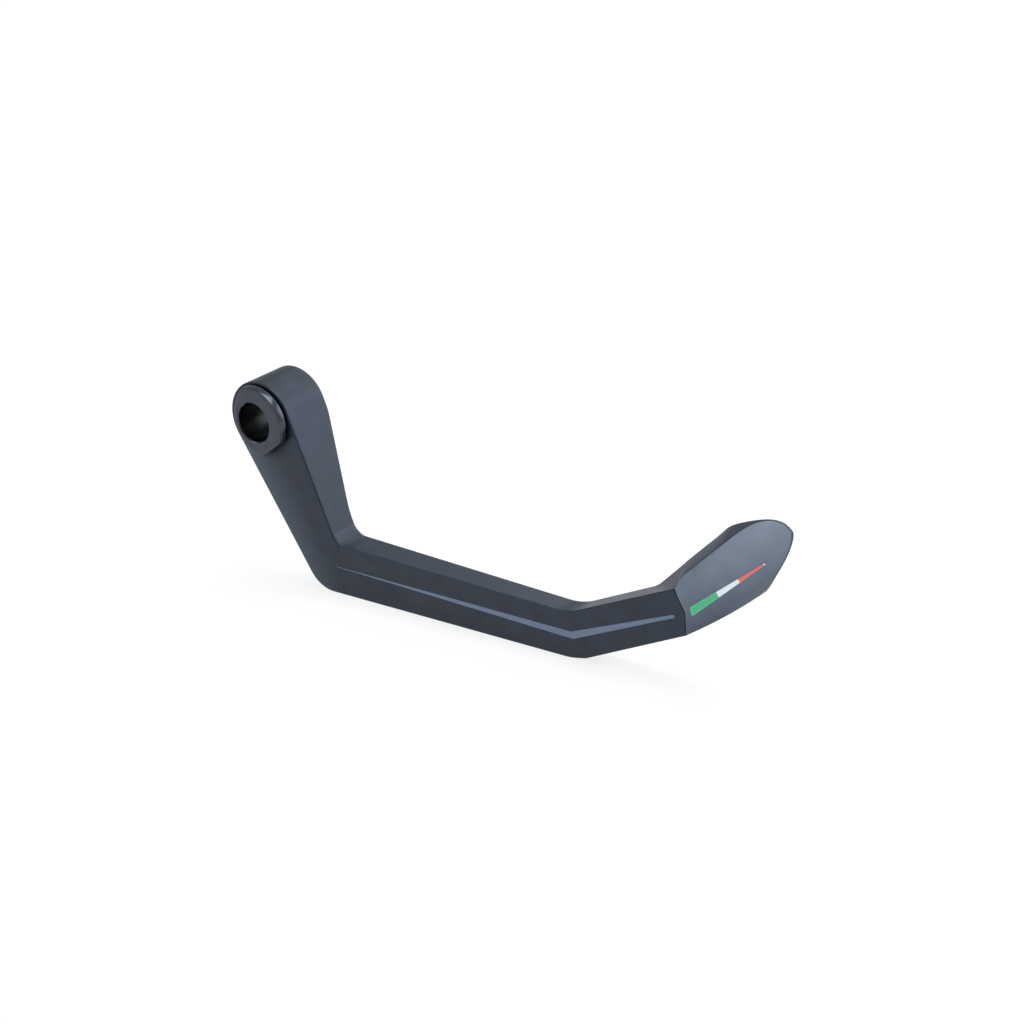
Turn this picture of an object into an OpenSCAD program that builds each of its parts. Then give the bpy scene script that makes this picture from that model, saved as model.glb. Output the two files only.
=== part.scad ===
// Brake lever guard: a machined arm with an eye for the bar end, and a moulded leaf-shaped tip.
// X runs along the straight blade, Y goes into the depth from the flat front face, Z is up.
// The origin is on the axis of the eye, in the plane of the front face.

/* [Eye] */
// Outside diameter of the eye
eye_d = 20; // [17:0.5:26]
// Depth of the eye along its bore
eye_depth = 14; // [11:0.5:20]
// Bore of the flanged bush
bush_bore_d = 10.3; // [6:0.1:11]
// Wall of the bush's sleeve
bush_wall = 1.6; // [1:0.1:2.2]
// Width of the eye's face left outside the bush's flange
flange_rim = 0.55; // [0.3:0.05:1.2]
// Thickness of the bush's flange
flange_t = 2.7; // [1.5:0.1:4]
// Distance from the bore's axis to the flange's middle flat
flange_flat = 8.3; // [7.9:0.1:9]
// Distance by which the flange's outer side is relieved
flange_relief = 2.95; // [1:0.05:3.2]
// Size of the edge breaks on the bush
bush_chamfer = 0.35; // [0.1:0.05:0.6]

/* [Arm] */
// Slope of the arm's outer edge below the horizontal
arm_outer_angle = 58.5; // [50:0.5:64]
// Slope of the arm's inner edge below the horizontal
arm_inner_angle = 69.2; // [65:0.5:74]
// Height of the bore's axis above the blade's lower edge
arm_drop = 43.3; // [38:0.5:60]
// Height below the bore's axis at which the arm reaches the blade's thickness
arm_taper = 24; // [18:0.5:28]
// Radius of the arm's inner bend
arm_inner_r = 4.5; // [3:0.5:14]
// Radius of the arm's outer bend
arm_outer_r = 8.5; // [6:0.5:22]

/* [Blade] */
// Length of the blade's lower edge between the two bends
blade_len = 85.4; // [60:0.1:120]
// Height of the blade at the arm
blade_h_arm = 13.7; // [11:0.1:16]
// Height of the blade at the second bend
blade_h_bend = 11.8; // [10.5:0.1:14]
// Thickness of the blade at the arm
blade_t_arm = 8.6; // [7.5:0.1:11]
// Thickness of the blade at the second bend
blade_t_bend = 6.6; // [5.5:0.1:8]
// Upward sweep of the blade's lower edge just before the second bend
blade_sweep = 11.5; // [4:0.5:16]
// Length of that sweep
blade_sweep_len = 4.5; // [2:0.5:8]

/* [Rising end] */
// Slope of the rising end
rise_angle = 23.7; // [15:0.5:32]
// Length of the rising end's lower edge
rise_len = 32.8; // [26:0.5:50]
// Height of the rising end at the bend
rise_h_bend = 12; // [10.5:0.1:14]
// Height of the rising end at the seam
rise_h_seam = 11.5; // [10.5:0.1:13]
// Thickness at the seam
seam_t = 8.2; // [7.6:0.1:10]
// How far the seam's kink stands ahead of its lower end
seam_kink = 2.4; // [0:0.1:4]
// How far the seam's upper end stands ahead of its lower end
seam_lead = 1.9; // [0:0.1:3]

/* [Stripe] */
// Width of the stripe at the second bend
stripe_w = 2; // [1:0.1:3]
// Width of the stripe at its rounded end
stripe_end_w = 0.9; // [0.4:0.1:1.5]
// Depth to which the stripe is engraved
stripe_depth = 0.3; // [0.1:0.05:0.8]
// Height of the stripe's fine end above the blade's lower edge
stripe_start_h = 7.4; // [5:0.1:9]
// Height of the stripe at the second bend
stripe_bend_h = 6.2; // [5:0.1:7.5]
// Distance of the stripe's rounded end from the seam
stripe_gap = 3.8; // [1.5:0.1:6]
// How far the stripe's bend stands behind the blade's lower corner
stripe_back = 3.7; // [0:0.1:8]

/* [Tip] */
// Length of the tip from the seam's kink to its nose
tip_len = 38.4; // [34:0.1:55]
// Slope of the tip's axis
tip_angle = 41.6; // [36:0.1:48]
// Half width of the tip above its axis
tip_upper_w = 7.3; // [6.6:0.1:8]
// Distance from the kink to the widest place of the upper edge
tip_upper_at = 23.6; // [20:0.1:28]
// Half width of the tip below its axis
tip_lower_w = 6.8; // [6.4:0.1:9]
// Distance from the kink to the widest place of the lower edge
tip_lower_at = 19.7; // [17:0.1:24]
// Half width of the tip below its axis at the seam
tip_root_w = 4.1; // [3.5:0.1:5.5]
// Crown of the tip's front face
tip_crown = 1; // [0.2:0.1:1.6]
// Width by which the tip's upper flank leans out towards the back
tip_flare = 2.7; // [0.5:0.1:3.6]
// Thickness of the tip's rim at the nose
tip_nose_t = 1; // [0.8:0.1:2]
// Depth of the nose's middle behind the front face
tip_nose_y = 2.6; // [2:0.1:4.5]

/* [Tongue and screws] */
// Length of the tongue ahead of the kink
tongue_len = 17; // [15:0.5:20]
// Height of the tongue
tongue_h = 6.4; // [5.4:0.1:7]
// Thickness of the tongue
tongue_t = 3.8; // [3:0.1:4.2]
// Slope of the tongue
tongue_angle = 39; // [36:0.5:42]
// Screw shank diameter
screw_d = 3; // [2:0.5:3]
// Diameter of the screws' countersunk heads
screw_head_d = 5.6; // [5:0.1:6]
// Distance from the kink to the first screw
screw_first = 5.5; // [5:0.5:7]
// Distance between the two screws
screw_pitch = 7; // [6.5:0.5:8]
// Width across the flats of the screws' hexagon sockets
screw_socket = 2; // [1.5:0.1:2.5]

/* [Fits] */
// Clearance between the bush's sleeve and the eye
bush_clearance = 0.03; // [0.01:0.01:0.1]
// Clearance between the arm and the tip
tip_clearance = 0.15; // [0.05:0.05:0.3]
// Clearance round the screws
screw_clearance = 0.05; // [0.02:0.01:0.15]

/* [Hidden] */
$fn = 96;
eps = 0.01;
over = 1;
arc_step = 5;

eye_r = eye_d / 2;
bore_r = bush_bore_d / 2;
sleeve_r = bore_r + bush_wall;
eye_bore_r = sleeve_r + bush_clearance;
flange_r = eye_r - flange_rim;
base_z = -arm_drop;

// Plane geometry: a line is a point and an angle
function dir(a) = [cos(a), sin(a)];
function unit(v) = v / norm(v);
function meet(p, a, q, b) = p + dir(a) * cross(q - p, dir(b)) / cross(dir(a), dir(b));
function slope(p, q) = atan2(q[1] - p[1], q[0] - p[0]);

// Arc that replaces the corner p between its neighbours, with its radius held within the shorter side
function arc_at(p, before, after, r) =
    let (u = unit(before - p), v = unit(after - p))
    let (half = acos(u * v) / 2)
    let (room = 0.49 * min(norm(before - p), norm(after - p)) * tan(half))
    let (rr = min(r, room))
    let (c = p + unit(u + v) * rr / sin(half))
    let (a0 = slope(c, p + u * rr / tan(half)), a1 = slope(c, p + v * rr / tan(half)))
    let (turn = (a1 - a0 + 540) % 360 - 180)
    let (n = max(2, ceil(abs(turn) / arc_step)))
    [for (i = [0:n]) c + rr * dir(a0 + turn * i / n)];

// Closed outline from corners [x, z, radius]; a corner without a radius stays sharp
function rounded(c) =
    let (n = len(c))
    [for (i = [0:n - 1])
        let (p = [c[i][0], c[i][1]])
        let (q = c[(i + n - 1) % n], s = c[(i + 1) % n])
        each c[i][2] > 0 ? arc_at(p, [q[0], q[1]], [s[0], s[1]], c[i][2]) : [p]];
function corner(p, r = 0) = [p[0], p[1], r];

// Corners of the arm, the blade and the rising end
inner_touch = eye_r * dir(90 - arm_inner_angle);
outer_touch = eye_r * dir(-90 - arm_outer_angle);
low_bend = meet(outer_touch, -arm_outer_angle, [0, base_z], 0);
low_sweep = low_bend + [blade_len - blade_sweep_len, 0];
low_rise = low_sweep + blade_sweep_len * [1, tan(blade_sweep)];
high_arm = low_bend + [0, blade_h_arm];
high_blade = low_bend + [blade_len, blade_h_bend];
blade_fall = slope(high_arm, high_blade);
rise_u = dir(rise_angle);
rise_n = dir(rise_angle + 90);
seam_low = low_rise + rise_len * rise_u;
high_rise = low_rise + rise_h_bend * rise_n;
high_seam = seam_low + rise_h_seam * rise_n;
kink_share = 0.45;
rise_top = slope(high_rise, high_seam);
high_bend = meet(inner_touch, -arm_inner_angle, high_arm, blade_fall);
high_rise_bend = meet(high_arm, blade_fall, high_rise, rise_top);
seam_mid = seam_low + seam_kink * rise_u + kink_share * rise_h_seam * rise_n;
seam_high = high_seam + seam_lead * dir(rise_top);

rise_bend_r = 18;
sweep_r = 20;
taper_low_r = 16;
taper_high_r = 10;
plan_r = 60;

// Stripe: fine at the arm, widest at the bend, rounded at its end
stripe_lead = 0.85;
stripe_start = [low_bend[0] + stripe_start_h * stripe_lead, base_z + stripe_start_h];
stripe_bend = [low_rise[0] - stripe_back, base_z + stripe_bend_h];
stripe_share = 0.45;
stripe_end = seam_low + (seam_kink - stripe_gap) * rise_u + stripe_share * rise_h_seam * rise_n;
stripe_hair = 0.15;

// Tip: a leaf on its own axis from the kink of the seam, a along the axis and b across it
tip_u = dir(tip_angle);
tip_n = dir(tip_angle + 90);
loft_back = 9;
tip_rings = 34;
upper_p = 2.5;
lower_p = 1.5;
root_p = 1.6;
root_back = 4;
step_w = tip_upper_w - (seam_high - seam_mid) * tip_n;
step_from = 1;
step_len = 5;
fall_from = 8;
lean_from = 20.8;
lean_to = 37.2;
rim_from = 14;
rim_to = 31;
crown_len = 12;
crown_p = 2.6;
tip_end_share = 0.994;
function ease(s) = let (t = min(1, max(0, s))) t * t * (3 - 2 * t);
// Share of the full width left beyond the widest place
function closing(a, full_at, p) =
    a < full_at ? 1 : pow(max(0, 1 - pow((a - full_at) / (tip_len - full_at), p)), 1 / p);
function tip_upper(a) =
    tip_upper_w * closing(a, tip_upper_at, upper_p) - step_w * (1 - ease((a - step_from) / step_len));
function tip_lower(a) =
    let (t = min(1, max(0, (tip_lower_at - a) / (tip_lower_at + root_back))))
    tip_lower_w * closing(a, tip_lower_at, lower_p) - (tip_lower_w - tip_root_w) * pow(t, root_p);
// Half width of the back face above the axis, at the outer edge of the leaning flank
function tip_lean(a) = tip_flare * ease((lean_to - a) / (lean_to - lean_from));
function tip_shoulder(a) = tip_upper_w * closing(a, tip_upper_at, upper_p) + tip_lean(a);
// Both faces close on the nose
function nose_share(a) = pow(max(0, (a - fall_from) / (tip_len - fall_from)), 2);
function tip_front(a, s) =
    let (fall = tip_nose_y - tip_nose_t / 2, t = nose_share(a))
    fall * t + tip_crown * min(1, max(0, (a + 1) / crown_len)) * (1 - t) * pow(abs(s), crown_p);
function tip_spine(a) = seam_t - (seam_t - tip_nose_y - tip_nose_t / 2) * nose_share(a);
// Depth of the back face's edge, which comes within the rim's thickness of the front towards the nose
function tip_rim(a) =
    let (full = tip_spine(a) - 0.5 * tip_crown * ease((a + 1) / crown_len) * (1 - nose_share(a)))
    let (r = ease((a - rim_from) / (rim_to - rim_from)))
    full * (1 - r) + (tip_front(a, 1) + tip_nose_t) * r;
function tip_rear(a, s) = tip_spine(a) - (tip_spine(a) - tip_rim(a)) * s * s;

front_steps = 14;
flank_steps = 3;
back_steps = 6;
flank_bow = 0.35;
// Share of the lean reached at the share t of the flank's depth, a little bowed outwards
function flank(t) = t + flank_bow * t * (1 - t);
// One section of the tip, round from the lower front edge: front face, upper flank, back, lower flank
function tip_section(a) = concat(
    [for (i = [0:front_steps])
        let (s = -1 + 2 * i / front_steps)
        [s < 0 ? s * tip_lower(a) : s * tip_upper(a), tip_front(a, s)]],
    [for (i = [1:flank_steps - 1])
        let (t = i / flank_steps)
        [tip_upper(a) + (tip_shoulder(a) - tip_upper(a)) * flank(t),
         tip_front(a, 1) + (tip_rear(a, 1) - tip_front(a, 1)) * t]],
    [for (i = [0:back_steps])
        let (s = 1 - 2 * i / back_steps)
        [s < 0 ? s * tip_lower(a) : s * tip_shoulder(a), tip_rear(a, s)]]);
function tip_point(a, q) = let (p = seam_mid + a * tip_u + q[0] * tip_n) [p[0], q[1], p[1]];
// Stations lie closer together towards the nose
function tip_station(i) =
    let (s = i / tip_rings)
    -loft_back + (tip_len * tip_end_share + loft_back) * sin(90 * s);

// Tongue of the arm inside the tip, and its two screws
tongue_y = (seam_t - tongue_t) / 2;
tongue_u = dir(tongue_angle);
tongue_drop = 0.9;
tongue_root = 6;
screw_r = screw_d / 2;
screw_head_r = screw_head_d / 2;
screw_sink = 0.35;
screw_end = 0.6;
socket_depth = 1.1;
screw_base = seam_mid - tongue_drop * dir(tongue_angle + 90) + screw_first * tongue_u;
screw_at = [for (i = [0:1]) screw_base + i * screw_pitch * tongue_u];
screw_top = seam_t - 0.5 * tip_crown - screw_sink;

// Turns an outline in X and Z into a solid from depth y0 to depth y1
module through(y0, y1) translate([0, y1, 0]) rotate([90, 0, 0]) linear_extrude(y1 - y0) children();

module seam_region(reach, gap) {
    // Everything behind the seam, with the seam moved back by the gap
    low = seam_low - gap * rise_u;
    mid = seam_mid - gap * rise_u;
    high = seam_high - gap * rise_u;
    below = low + reach * unit(low - mid);
    above = high + reach * unit(high - mid);
    polygon([low, mid, high, above, above - 2 * reach * rise_u, below - 2 * reach * rise_u, below]);
}

// The eye's arc runs over its top, from the inner edge's touching point to the outer one
eye_turn = 180 + arm_inner_angle - arm_outer_angle;
eye_steps = ceil(eye_turn / 3);
eye_arc = [for (i = [0:eye_steps]) corner(eye_r * dir(90 - arm_inner_angle + eye_turn * i / eye_steps))];

module arm_outline() {
    polygon(rounded(concat(eye_arc, [
        corner(low_bend, arm_outer_r),
        corner(low_sweep, sweep_r),
        corner(low_rise),
        corner(seam_low),
        corner(seam_mid),
        corner(seam_high),
        corner(high_rise_bend, rise_bend_r),
        corner(high_bend, arm_inner_r)])));
}

// Side view: full depth at the eye, tapering down to the blade
module arm_side() {
    top = eye_r + over;
    bottom = base_z - over;
    polygon(rounded([
        corner([-over, bottom]),
        corner([blade_t_arm, bottom]),
        corner([blade_t_arm, -arm_taper], taper_low_r),
        corner([eye_depth, 0], taper_high_r),
        corner([eye_depth, top]),
        corner([-over, top])]));
}

// Plan: the blade thins to the second bend and thickens again to the seam
module arm_plan() {
    left = -eye_r - over;
    right = seam_high[0] + 2 * seam_kink + over;
    deep = eye_depth + over;
    x_arm = high_bend[0];
    x_bend = high_rise_bend[0];
    polygon(rounded([
        corner([left, -over]),
        corner([left, deep]),
        corner([x_arm, deep]),
        corner([x_arm, blade_t_arm]),
        corner([x_bend, blade_t_bend], plan_r),
        corner([seam_low[0] - seam_kink, seam_t]),
        corner([right, seam_t]),
        corner([right, -over])]));
}

module stripe_cut() {
    m = dir(90 + rise_angle / 2);
    a = slope(stripe_bend, stripe_end);
    polygon(concat(
        [stripe_start + [0, stripe_hair / 2],
         stripe_start - [0, stripe_hair / 2],
         stripe_bend - m * stripe_w / 2],
        [for (i = [0:12]) stripe_end + stripe_end_w / 2 * dir(a - 90 + 15 * i)],
        [stripe_bend + m * stripe_w / 2]));
}

module tongue(gap, reach) {
    translate([seam_mid[0], tongue_y - gap, seam_mid[1]])
        rotate([0, -tongue_angle, 0])
            translate([-tongue_root, 0, -tongue_h / 2 - tongue_drop - gap])
                cube([tongue_root + tongue_len + reach, tongue_t + 2 * gap, tongue_h + 2 * gap]);
}

// Wedge on the rising end's upper side that carries the tip's leaning flank back from the seam
module shoulder() {
    start = 0.4;
    sunk = 3;
    lean = tip_upper_w + tip_flare;
    back = meet(seam_mid + lean * tip_n, tip_angle, seam_high, rise_top);
    side = (seam_high - seam_mid) * tip_n;
    high = seam_mid + (seam_high - seam_mid) * lean / side;
    share = norm(back - high_rise) / norm(seam_high - high_rise);
    deep = blade_t_bend + (seam_t - blade_t_bend) * share;
    inner = seam_high - sunk * unit(seam_high - seam_mid);
    polyhedron([
        [seam_high[0], start, seam_high[1]],
        [high[0], seam_t, high[1]],
        [back[0], deep, back[1]],
        [inner[0], seam_t - start, inner[1]]],
        [[0, 1, 2], [0, 3, 1], [1, 3, 2], [0, 2, 3]]);
}

module guard_arm() {
    color([0.19, 0.2, 0.24]) difference() {
        union() {
            intersection() {
                through(0, eye_depth) arm_outline();
                translate([-eye_r - over, 0, 0]) rotate([90, 0, 90])
                    linear_extrude(seam_high[0] + eye_r + 2 * seam_kink + 2 * over) arm_side();
                translate([0, 0, base_z - over])
                    linear_extrude(arm_drop + eye_r + 2 * over) arm_plan();
            }
            tongue(0, 0);
            shoulder();
        }
        rotate([-90, 0, 0]) translate([0, 0, -over]) cylinder(h = eye_depth + 2 * over, r = eye_bore_r);
        through(-over, stripe_depth) stripe_cut();
        for (p = screw_at)
            translate([p[0], tongue_y + screw_end - screw_clearance, p[1]]) rotate([-90, 0, 0])
                cylinder(h = tongue_t + over, r = screw_r + screw_clearance, $fn = 32);
    }
}

// Disc of the flange with its front edge broken
module flange_disc(r) {
    rotate([-90, 0, 0]) translate([0, 0, -flange_t]) {
        cylinder(h = bush_chamfer, r1 = r - bush_chamfer, r2 = r);
        translate([0, 0, bush_chamfer]) cylinder(h = flange_t - bush_chamfer, r = r);
    }
}

// Flanged bush: a sleeve through the eye, with flats on the flange towards the arm
module eye_bush() {
    // Angle and distance of each flat
    side = [-10, flange_flat + 1];
    middle = [-53.5, flange_flat];
    low = [-90, flange_flat + 0.45];
    reach = 2 * flange_r;
    relief_shift = 4.3;
    relief_rise = 0.9;
    relief_r = flange_r - flange_relief + relief_shift;
    upper = meet(side[1] * dir(side[0]), side[0] + 90, middle[1] * dir(middle[0]), middle[0] + 90);
    lower = meet(middle[1] * dir(middle[0]), middle[0] + 90, low[1] * dir(low[0]), low[0] + 90);
    color([0.1, 0.1, 0.12]) difference() {
        union() {
            rotate([-90, 0, 0]) cylinder(h = eye_depth, r = sleeve_r);
            intersection() {
                flange_disc(flange_r);
                translate([relief_shift, 0, relief_rise]) flange_disc(relief_r);
                through(-flange_t - over, over) polygon([
                    upper,
                    upper + reach * dir(side[0] + 90),
                    [-reach, reach],
                    lower + reach * dir(low[0] - 90),
                    lower]);
            }
        }
        rotate([-90, 0, 0]) translate([0, 0, -flange_t - over])
            cylinder(h = flange_t + eye_depth + 2 * over, r = bore_r);
        rotate([-90, 0, 0]) translate([0, 0, -flange_t - eps])
            cylinder(h = bush_chamfer + eps, r1 = bore_r + bush_chamfer + eps, r2 = bore_r);
    }
}

// Revolved shape of a countersunk screw or of its hole, from the depth y0 of its end to the depth y1
module screw_shape(gap, y0, y1) {
    cone = screw_head_r - screw_r;
    rotate_extrude($fn = 32) polygon([
        [0, y0],
        [screw_r + gap, y0],
        [screw_r + gap, screw_top - cone],
        [screw_head_r + gap, screw_top],
        [screw_head_r + gap, max(y1, screw_top + eps)],
        [0, max(y1, screw_top + eps)]]);
}

// Loft of the tip through its sections
module tip_loft() {
    rings = [for (i = [0:tip_rings]) [for (q = tip_section(tip_station(i))) tip_point(tip_station(i), q)]];
    n = len(rings[0]);
    points = [for (r = rings) each r];
    sides = [for (i = [0:tip_rings - 1]) for (j = [0:n - 1])
        let (k = (j + 1) % n)
        each [[i * n + j, i * n + k, (i + 1) * n + k], [i * n + j, (i + 1) * n + k, (i + 1) * n + j]]];
    root = [for (j = [0:n - 1]) n - 1 - j];
    nose = [for (j = [0:n - 1]) tip_rings * n + j];
    polyhedron(points, concat([root], sides, [nose]));
}

module guard_tip() {
    color([0.45, 0.48, 0.53]) difference() {
        tip_loft();
        through(-over, seam_t + over) seam_region(30, -tip_clearance);
        tongue(tip_clearance, tip_clearance);
        for (p = screw_at)
            translate([p[0], 0, p[1]]) rotate([-90, 0, 0])
                screw_shape(screw_clearance, tongue_y + tongue_t / 2, seam_t + over);
    }
}

// Two countersunk screws, put in from the back
module tip_screws() {
    color([0.15, 0.15, 0.16]) for (p = screw_at)
        translate([p[0], 0, p[1]]) rotate([-90, 0, 0]) difference() {
            screw_shape(0, tongue_y + screw_end, screw_top);
            translate([0, 0, screw_top - socket_depth])
                cylinder(h = socket_depth + over, d = screw_socket / cos(30), $fn = 6);
        }
}

guard_arm();
eye_bush();
guard_tip();
tip_screws();
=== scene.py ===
"""Looks of a brake lever guard: a machined, anodised arm, a turned bush in its eye and a moulded tip.

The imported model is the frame. Each piece here is a surface worked out with numpy that stands for the
solid of the same name, with rounded edges, an engraved stripe and procedural finishes. Lengths in the
classes are millimetres in the row frame: X along the blade, Y into the depth, Z up.
"""

from __future__ import annotations

import logging
import math
from dataclasses import dataclass
from enum import Enum
from typing import Callable, Iterable, Sequence

import bmesh
import bpy
import numpy as np
from mathutils import Matrix, Vector
from mathutils.geometry import delaunay_2d_cdt


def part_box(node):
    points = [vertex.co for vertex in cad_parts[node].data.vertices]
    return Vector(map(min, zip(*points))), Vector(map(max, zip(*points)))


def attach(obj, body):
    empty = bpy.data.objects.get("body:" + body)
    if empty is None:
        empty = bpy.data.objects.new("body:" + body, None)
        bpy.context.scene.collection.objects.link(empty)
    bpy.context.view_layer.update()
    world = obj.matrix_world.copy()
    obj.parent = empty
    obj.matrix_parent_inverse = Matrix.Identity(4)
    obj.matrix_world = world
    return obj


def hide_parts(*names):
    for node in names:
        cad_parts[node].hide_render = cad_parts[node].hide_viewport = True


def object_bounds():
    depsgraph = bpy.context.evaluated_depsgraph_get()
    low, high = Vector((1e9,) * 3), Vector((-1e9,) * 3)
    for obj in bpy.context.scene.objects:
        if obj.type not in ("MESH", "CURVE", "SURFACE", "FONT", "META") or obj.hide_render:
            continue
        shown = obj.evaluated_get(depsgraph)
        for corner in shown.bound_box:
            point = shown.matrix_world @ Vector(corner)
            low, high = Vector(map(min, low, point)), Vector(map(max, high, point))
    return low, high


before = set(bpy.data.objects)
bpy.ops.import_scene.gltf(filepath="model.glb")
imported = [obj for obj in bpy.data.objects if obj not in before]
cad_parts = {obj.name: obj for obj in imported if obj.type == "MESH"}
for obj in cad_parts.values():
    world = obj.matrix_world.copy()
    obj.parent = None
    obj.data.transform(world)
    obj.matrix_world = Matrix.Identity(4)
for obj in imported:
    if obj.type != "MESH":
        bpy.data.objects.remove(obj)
CAD_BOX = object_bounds()

MM = 0.001
MERGE = 1e-7  # points nearer than this count as one
TINY = 1e-12  # keeps a divisor from being zero
ARC_SHARE = 0.49  # of a side, that one corner's arc may take up
IN_LINE = 0.995  # cosine beyond which two sides count as one straight side
CLEAR_SHARE = 0.4  # of their spacing, that the points between loops keep from the loops
LOG = logging.getLogger("brake_lever_guard")
Array = np.ndarray
Colour = tuple[float, float, float]


class Slot(Enum):
    """Names of material slots for the arm, the bush and the tip, which the materials made here don't take.
    """

    ARM = "arm_anodised"
    BUSH = "bush_black"
    TIP = "tip_plastic"


def direction(angle: float) -> Array:
    """Unit vector in the plane of the front face, (cos, sin) of an angle in degrees."""
    a = math.radians(angle)
    return np.array([math.cos(a), math.sin(a)])


def on_circle(a: Array) -> Array:
    """Points of the unit circle at angles in radians, one row each."""
    return np.c_[np.cos(a), np.sin(a)]


def turns(count: int) -> Array:
    """Angles in radians that part a full turn evenly."""
    return np.linspace(0, 2 * math.pi, count, endpoint=False)


def raised(loop: Array, depth: Array | float) -> Array:
    """Points in space of plane points, at one depth or at a depth each."""
    return np.c_[loop[:, 0], np.broadcast_to(depth, len(loop)), loop[:, 1]]


def stacked(loop: Array, depths: Sequence[float]) -> Array:
    """Rings of the same plane points, one for each depth."""
    return np.array([raised(loop, depth) for depth in depths])


def flat(points: Array) -> Array:
    """Plane points (x, z) of points in space."""
    return points[:, [0, 2]]


def cross2(a: Array, b: Array) -> float:
    """Cross product of two plane vectors."""
    return float(a[0] * b[1] - a[1] * b[0])


def meet(p: Array, a: float, q: Array, b: float) -> Array:
    """Point where two lines cross.

    Args:
        p: A point of the first line.
        a: Angle of the first line, in degrees.
        q: A point of the second line.
        b: Angle of the second line, in degrees.

    Returns:
        The crossing, p plus the share of the first direction that lands on the second line.
    """
    return p + direction(a) * cross2(q - p, direction(b)) / cross2(direction(a), direction(b))


def slope(p: Array, q: Array) -> float:
    """Angle of the line from p to q, in degrees."""
    return math.degrees(math.atan2(q[1] - p[1], q[0] - p[0]))


def unit(v: Array) -> Array:
    """The vector v at length 1."""
    return v / np.linalg.norm(v)


def ease(s: Array | float) -> Array:
    """Smooth step 3 t^2 - 2 t^3 of s held between 0 and 1."""
    t = np.clip(s, 0.0, 1.0)
    return t * t * (3.0 - 2.0 * t)


def arc_at(p: Array, before: Array, after: Array, radius: float, step: float) -> Array:
    """Arc that replaces a corner, tangent to both of its sides.

    Args:
        p: The corner.
        before: The corner before it.
        after: The corner after it.
        radius: Radius of the arc, held within the shorter side.
        step: Largest turn between two points, in degrees.

    Returns:
        Points of the arc, one row each.
    """
    u, v = unit(before - p), unit(after - p)
    half = math.acos(float(np.clip(u @ v, -1.0, 1.0))) / 2
    room = ARC_SHARE * min(np.linalg.norm(before - p), np.linalg.norm(after - p)) * math.tan(half)
    r = min(radius, room)
    centre = p + unit(u + v) * r / math.sin(half)
    first = slope(centre, p + u * r / math.tan(half))
    turn = (slope(centre, p + v * r / math.tan(half)) - first + 540) % 360 - 180
    a = np.radians(first + turn * np.linspace(0.0, 1.0, max(2, math.ceil(abs(turn) / step)) + 1))
    return centre + r * on_circle(a)


def rounded(corners: Sequence[tuple[Array, float]], step: float = 3.0) -> Array:
    """Closed outline whose corners with a radius become arcs and whose other corners stay sharp."""
    n = len(corners)
    parts = []
    for i, (p, radius) in enumerate(corners):
        if radius > 0:
            parts.append(arc_at(p, corners[i - 1][0], corners[(i + 1) % n][0], radius, step))
        else:
            parts.append(p[None, :])
    return np.concatenate(parts)


def subdivided(loop: Array, longest: float) -> Array:
    """Closed loop whose long sides are cut into equal pieces no longer than a given length."""
    parts = []
    for p, q in zip(loop, np.roll(loop, -1, axis=0)):
        n = max(1, math.ceil(np.linalg.norm(q - p) / longest))
        parts.append(p + (q - p) * np.arange(n)[:, None] / n)
    return np.concatenate(parts)


def inset(loop: Array, distance: float | Array) -> Array:
    """Closed loop whose sides are moved inwards, so that each corner stays on both of its sides.

    With side normals m and n, distances d and e and c = m.n, a corner moves by
    ((d - c e) m + (e - c d) n) / (1 - c^2), or along m + n where the sides are nearly in line.

    Args:
        loop: Corners, anticlockwise.
        distance: One distance, or one for each side, that from a corner to the next.

    Returns:
        The moved loop.
    """
    side = np.roll(loop, -1, axis=0) - loop
    n = np.c_[-side[:, 1], side[:, 0]] / np.linalg.norm(side, axis=1)[:, None]
    m = np.roll(n, 1, axis=0)
    e = np.broadcast_to(np.asarray(distance, float), len(loop))[:, None]
    d = np.roll(e, 1, axis=0)
    c = np.sum(m * n, axis=1)[:, None]
    corner = ((d - c * e) * m + (e - c * d) * n) / np.maximum(1 - c * c, TINY)
    straight = (d + e) / 2 * (m + n) / (1 + c)
    return loop + np.where(np.abs(c) > IN_LINE, straight, corner)


def shrunk(loop: Array, distance: float) -> Array:
    """Closed loop drawn towards its middle, by a distance at each end of its two extents."""
    low, high = loop.min(0), loop.max(0)
    middle = (low + high) / 2
    return middle + (loop - middle) * (1 - 2 * distance / (high - low))


def inside(points: Array, loop: Array) -> Array:
    """Mask of the points inside a closed loop, by counting the sides that a ray to +X crosses."""
    p, q = loop, np.roll(loop, -1, axis=0)
    x, z = points[:, :1], points[:, 1:]
    spans = (p[:, 1] > z) != (q[:, 1] > z)
    rise = np.where(q[:, 1] == p[:, 1], TINY, q[:, 1] - p[:, 1])
    at = p[:, 0] + (z - p[:, 1]) / rise * (q[:, 0] - p[:, 0])
    return np.sum(spans & (x < at), axis=1) % 2 == 1


def distance_to(points: Array, loop: Array) -> Array:
    """Distance of each point from a closed loop's sides."""
    p, q = loop, np.roll(loop, -1, axis=0)
    d = q - p
    rel = points[:, None, :] - p[None]
    t = np.clip(np.sum(rel * d, axis=2) / np.maximum(np.sum(d * d, axis=1), TINY), 0, 1)
    return np.min(np.linalg.norm(rel - t[..., None] * d, axis=2), axis=1)


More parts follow.
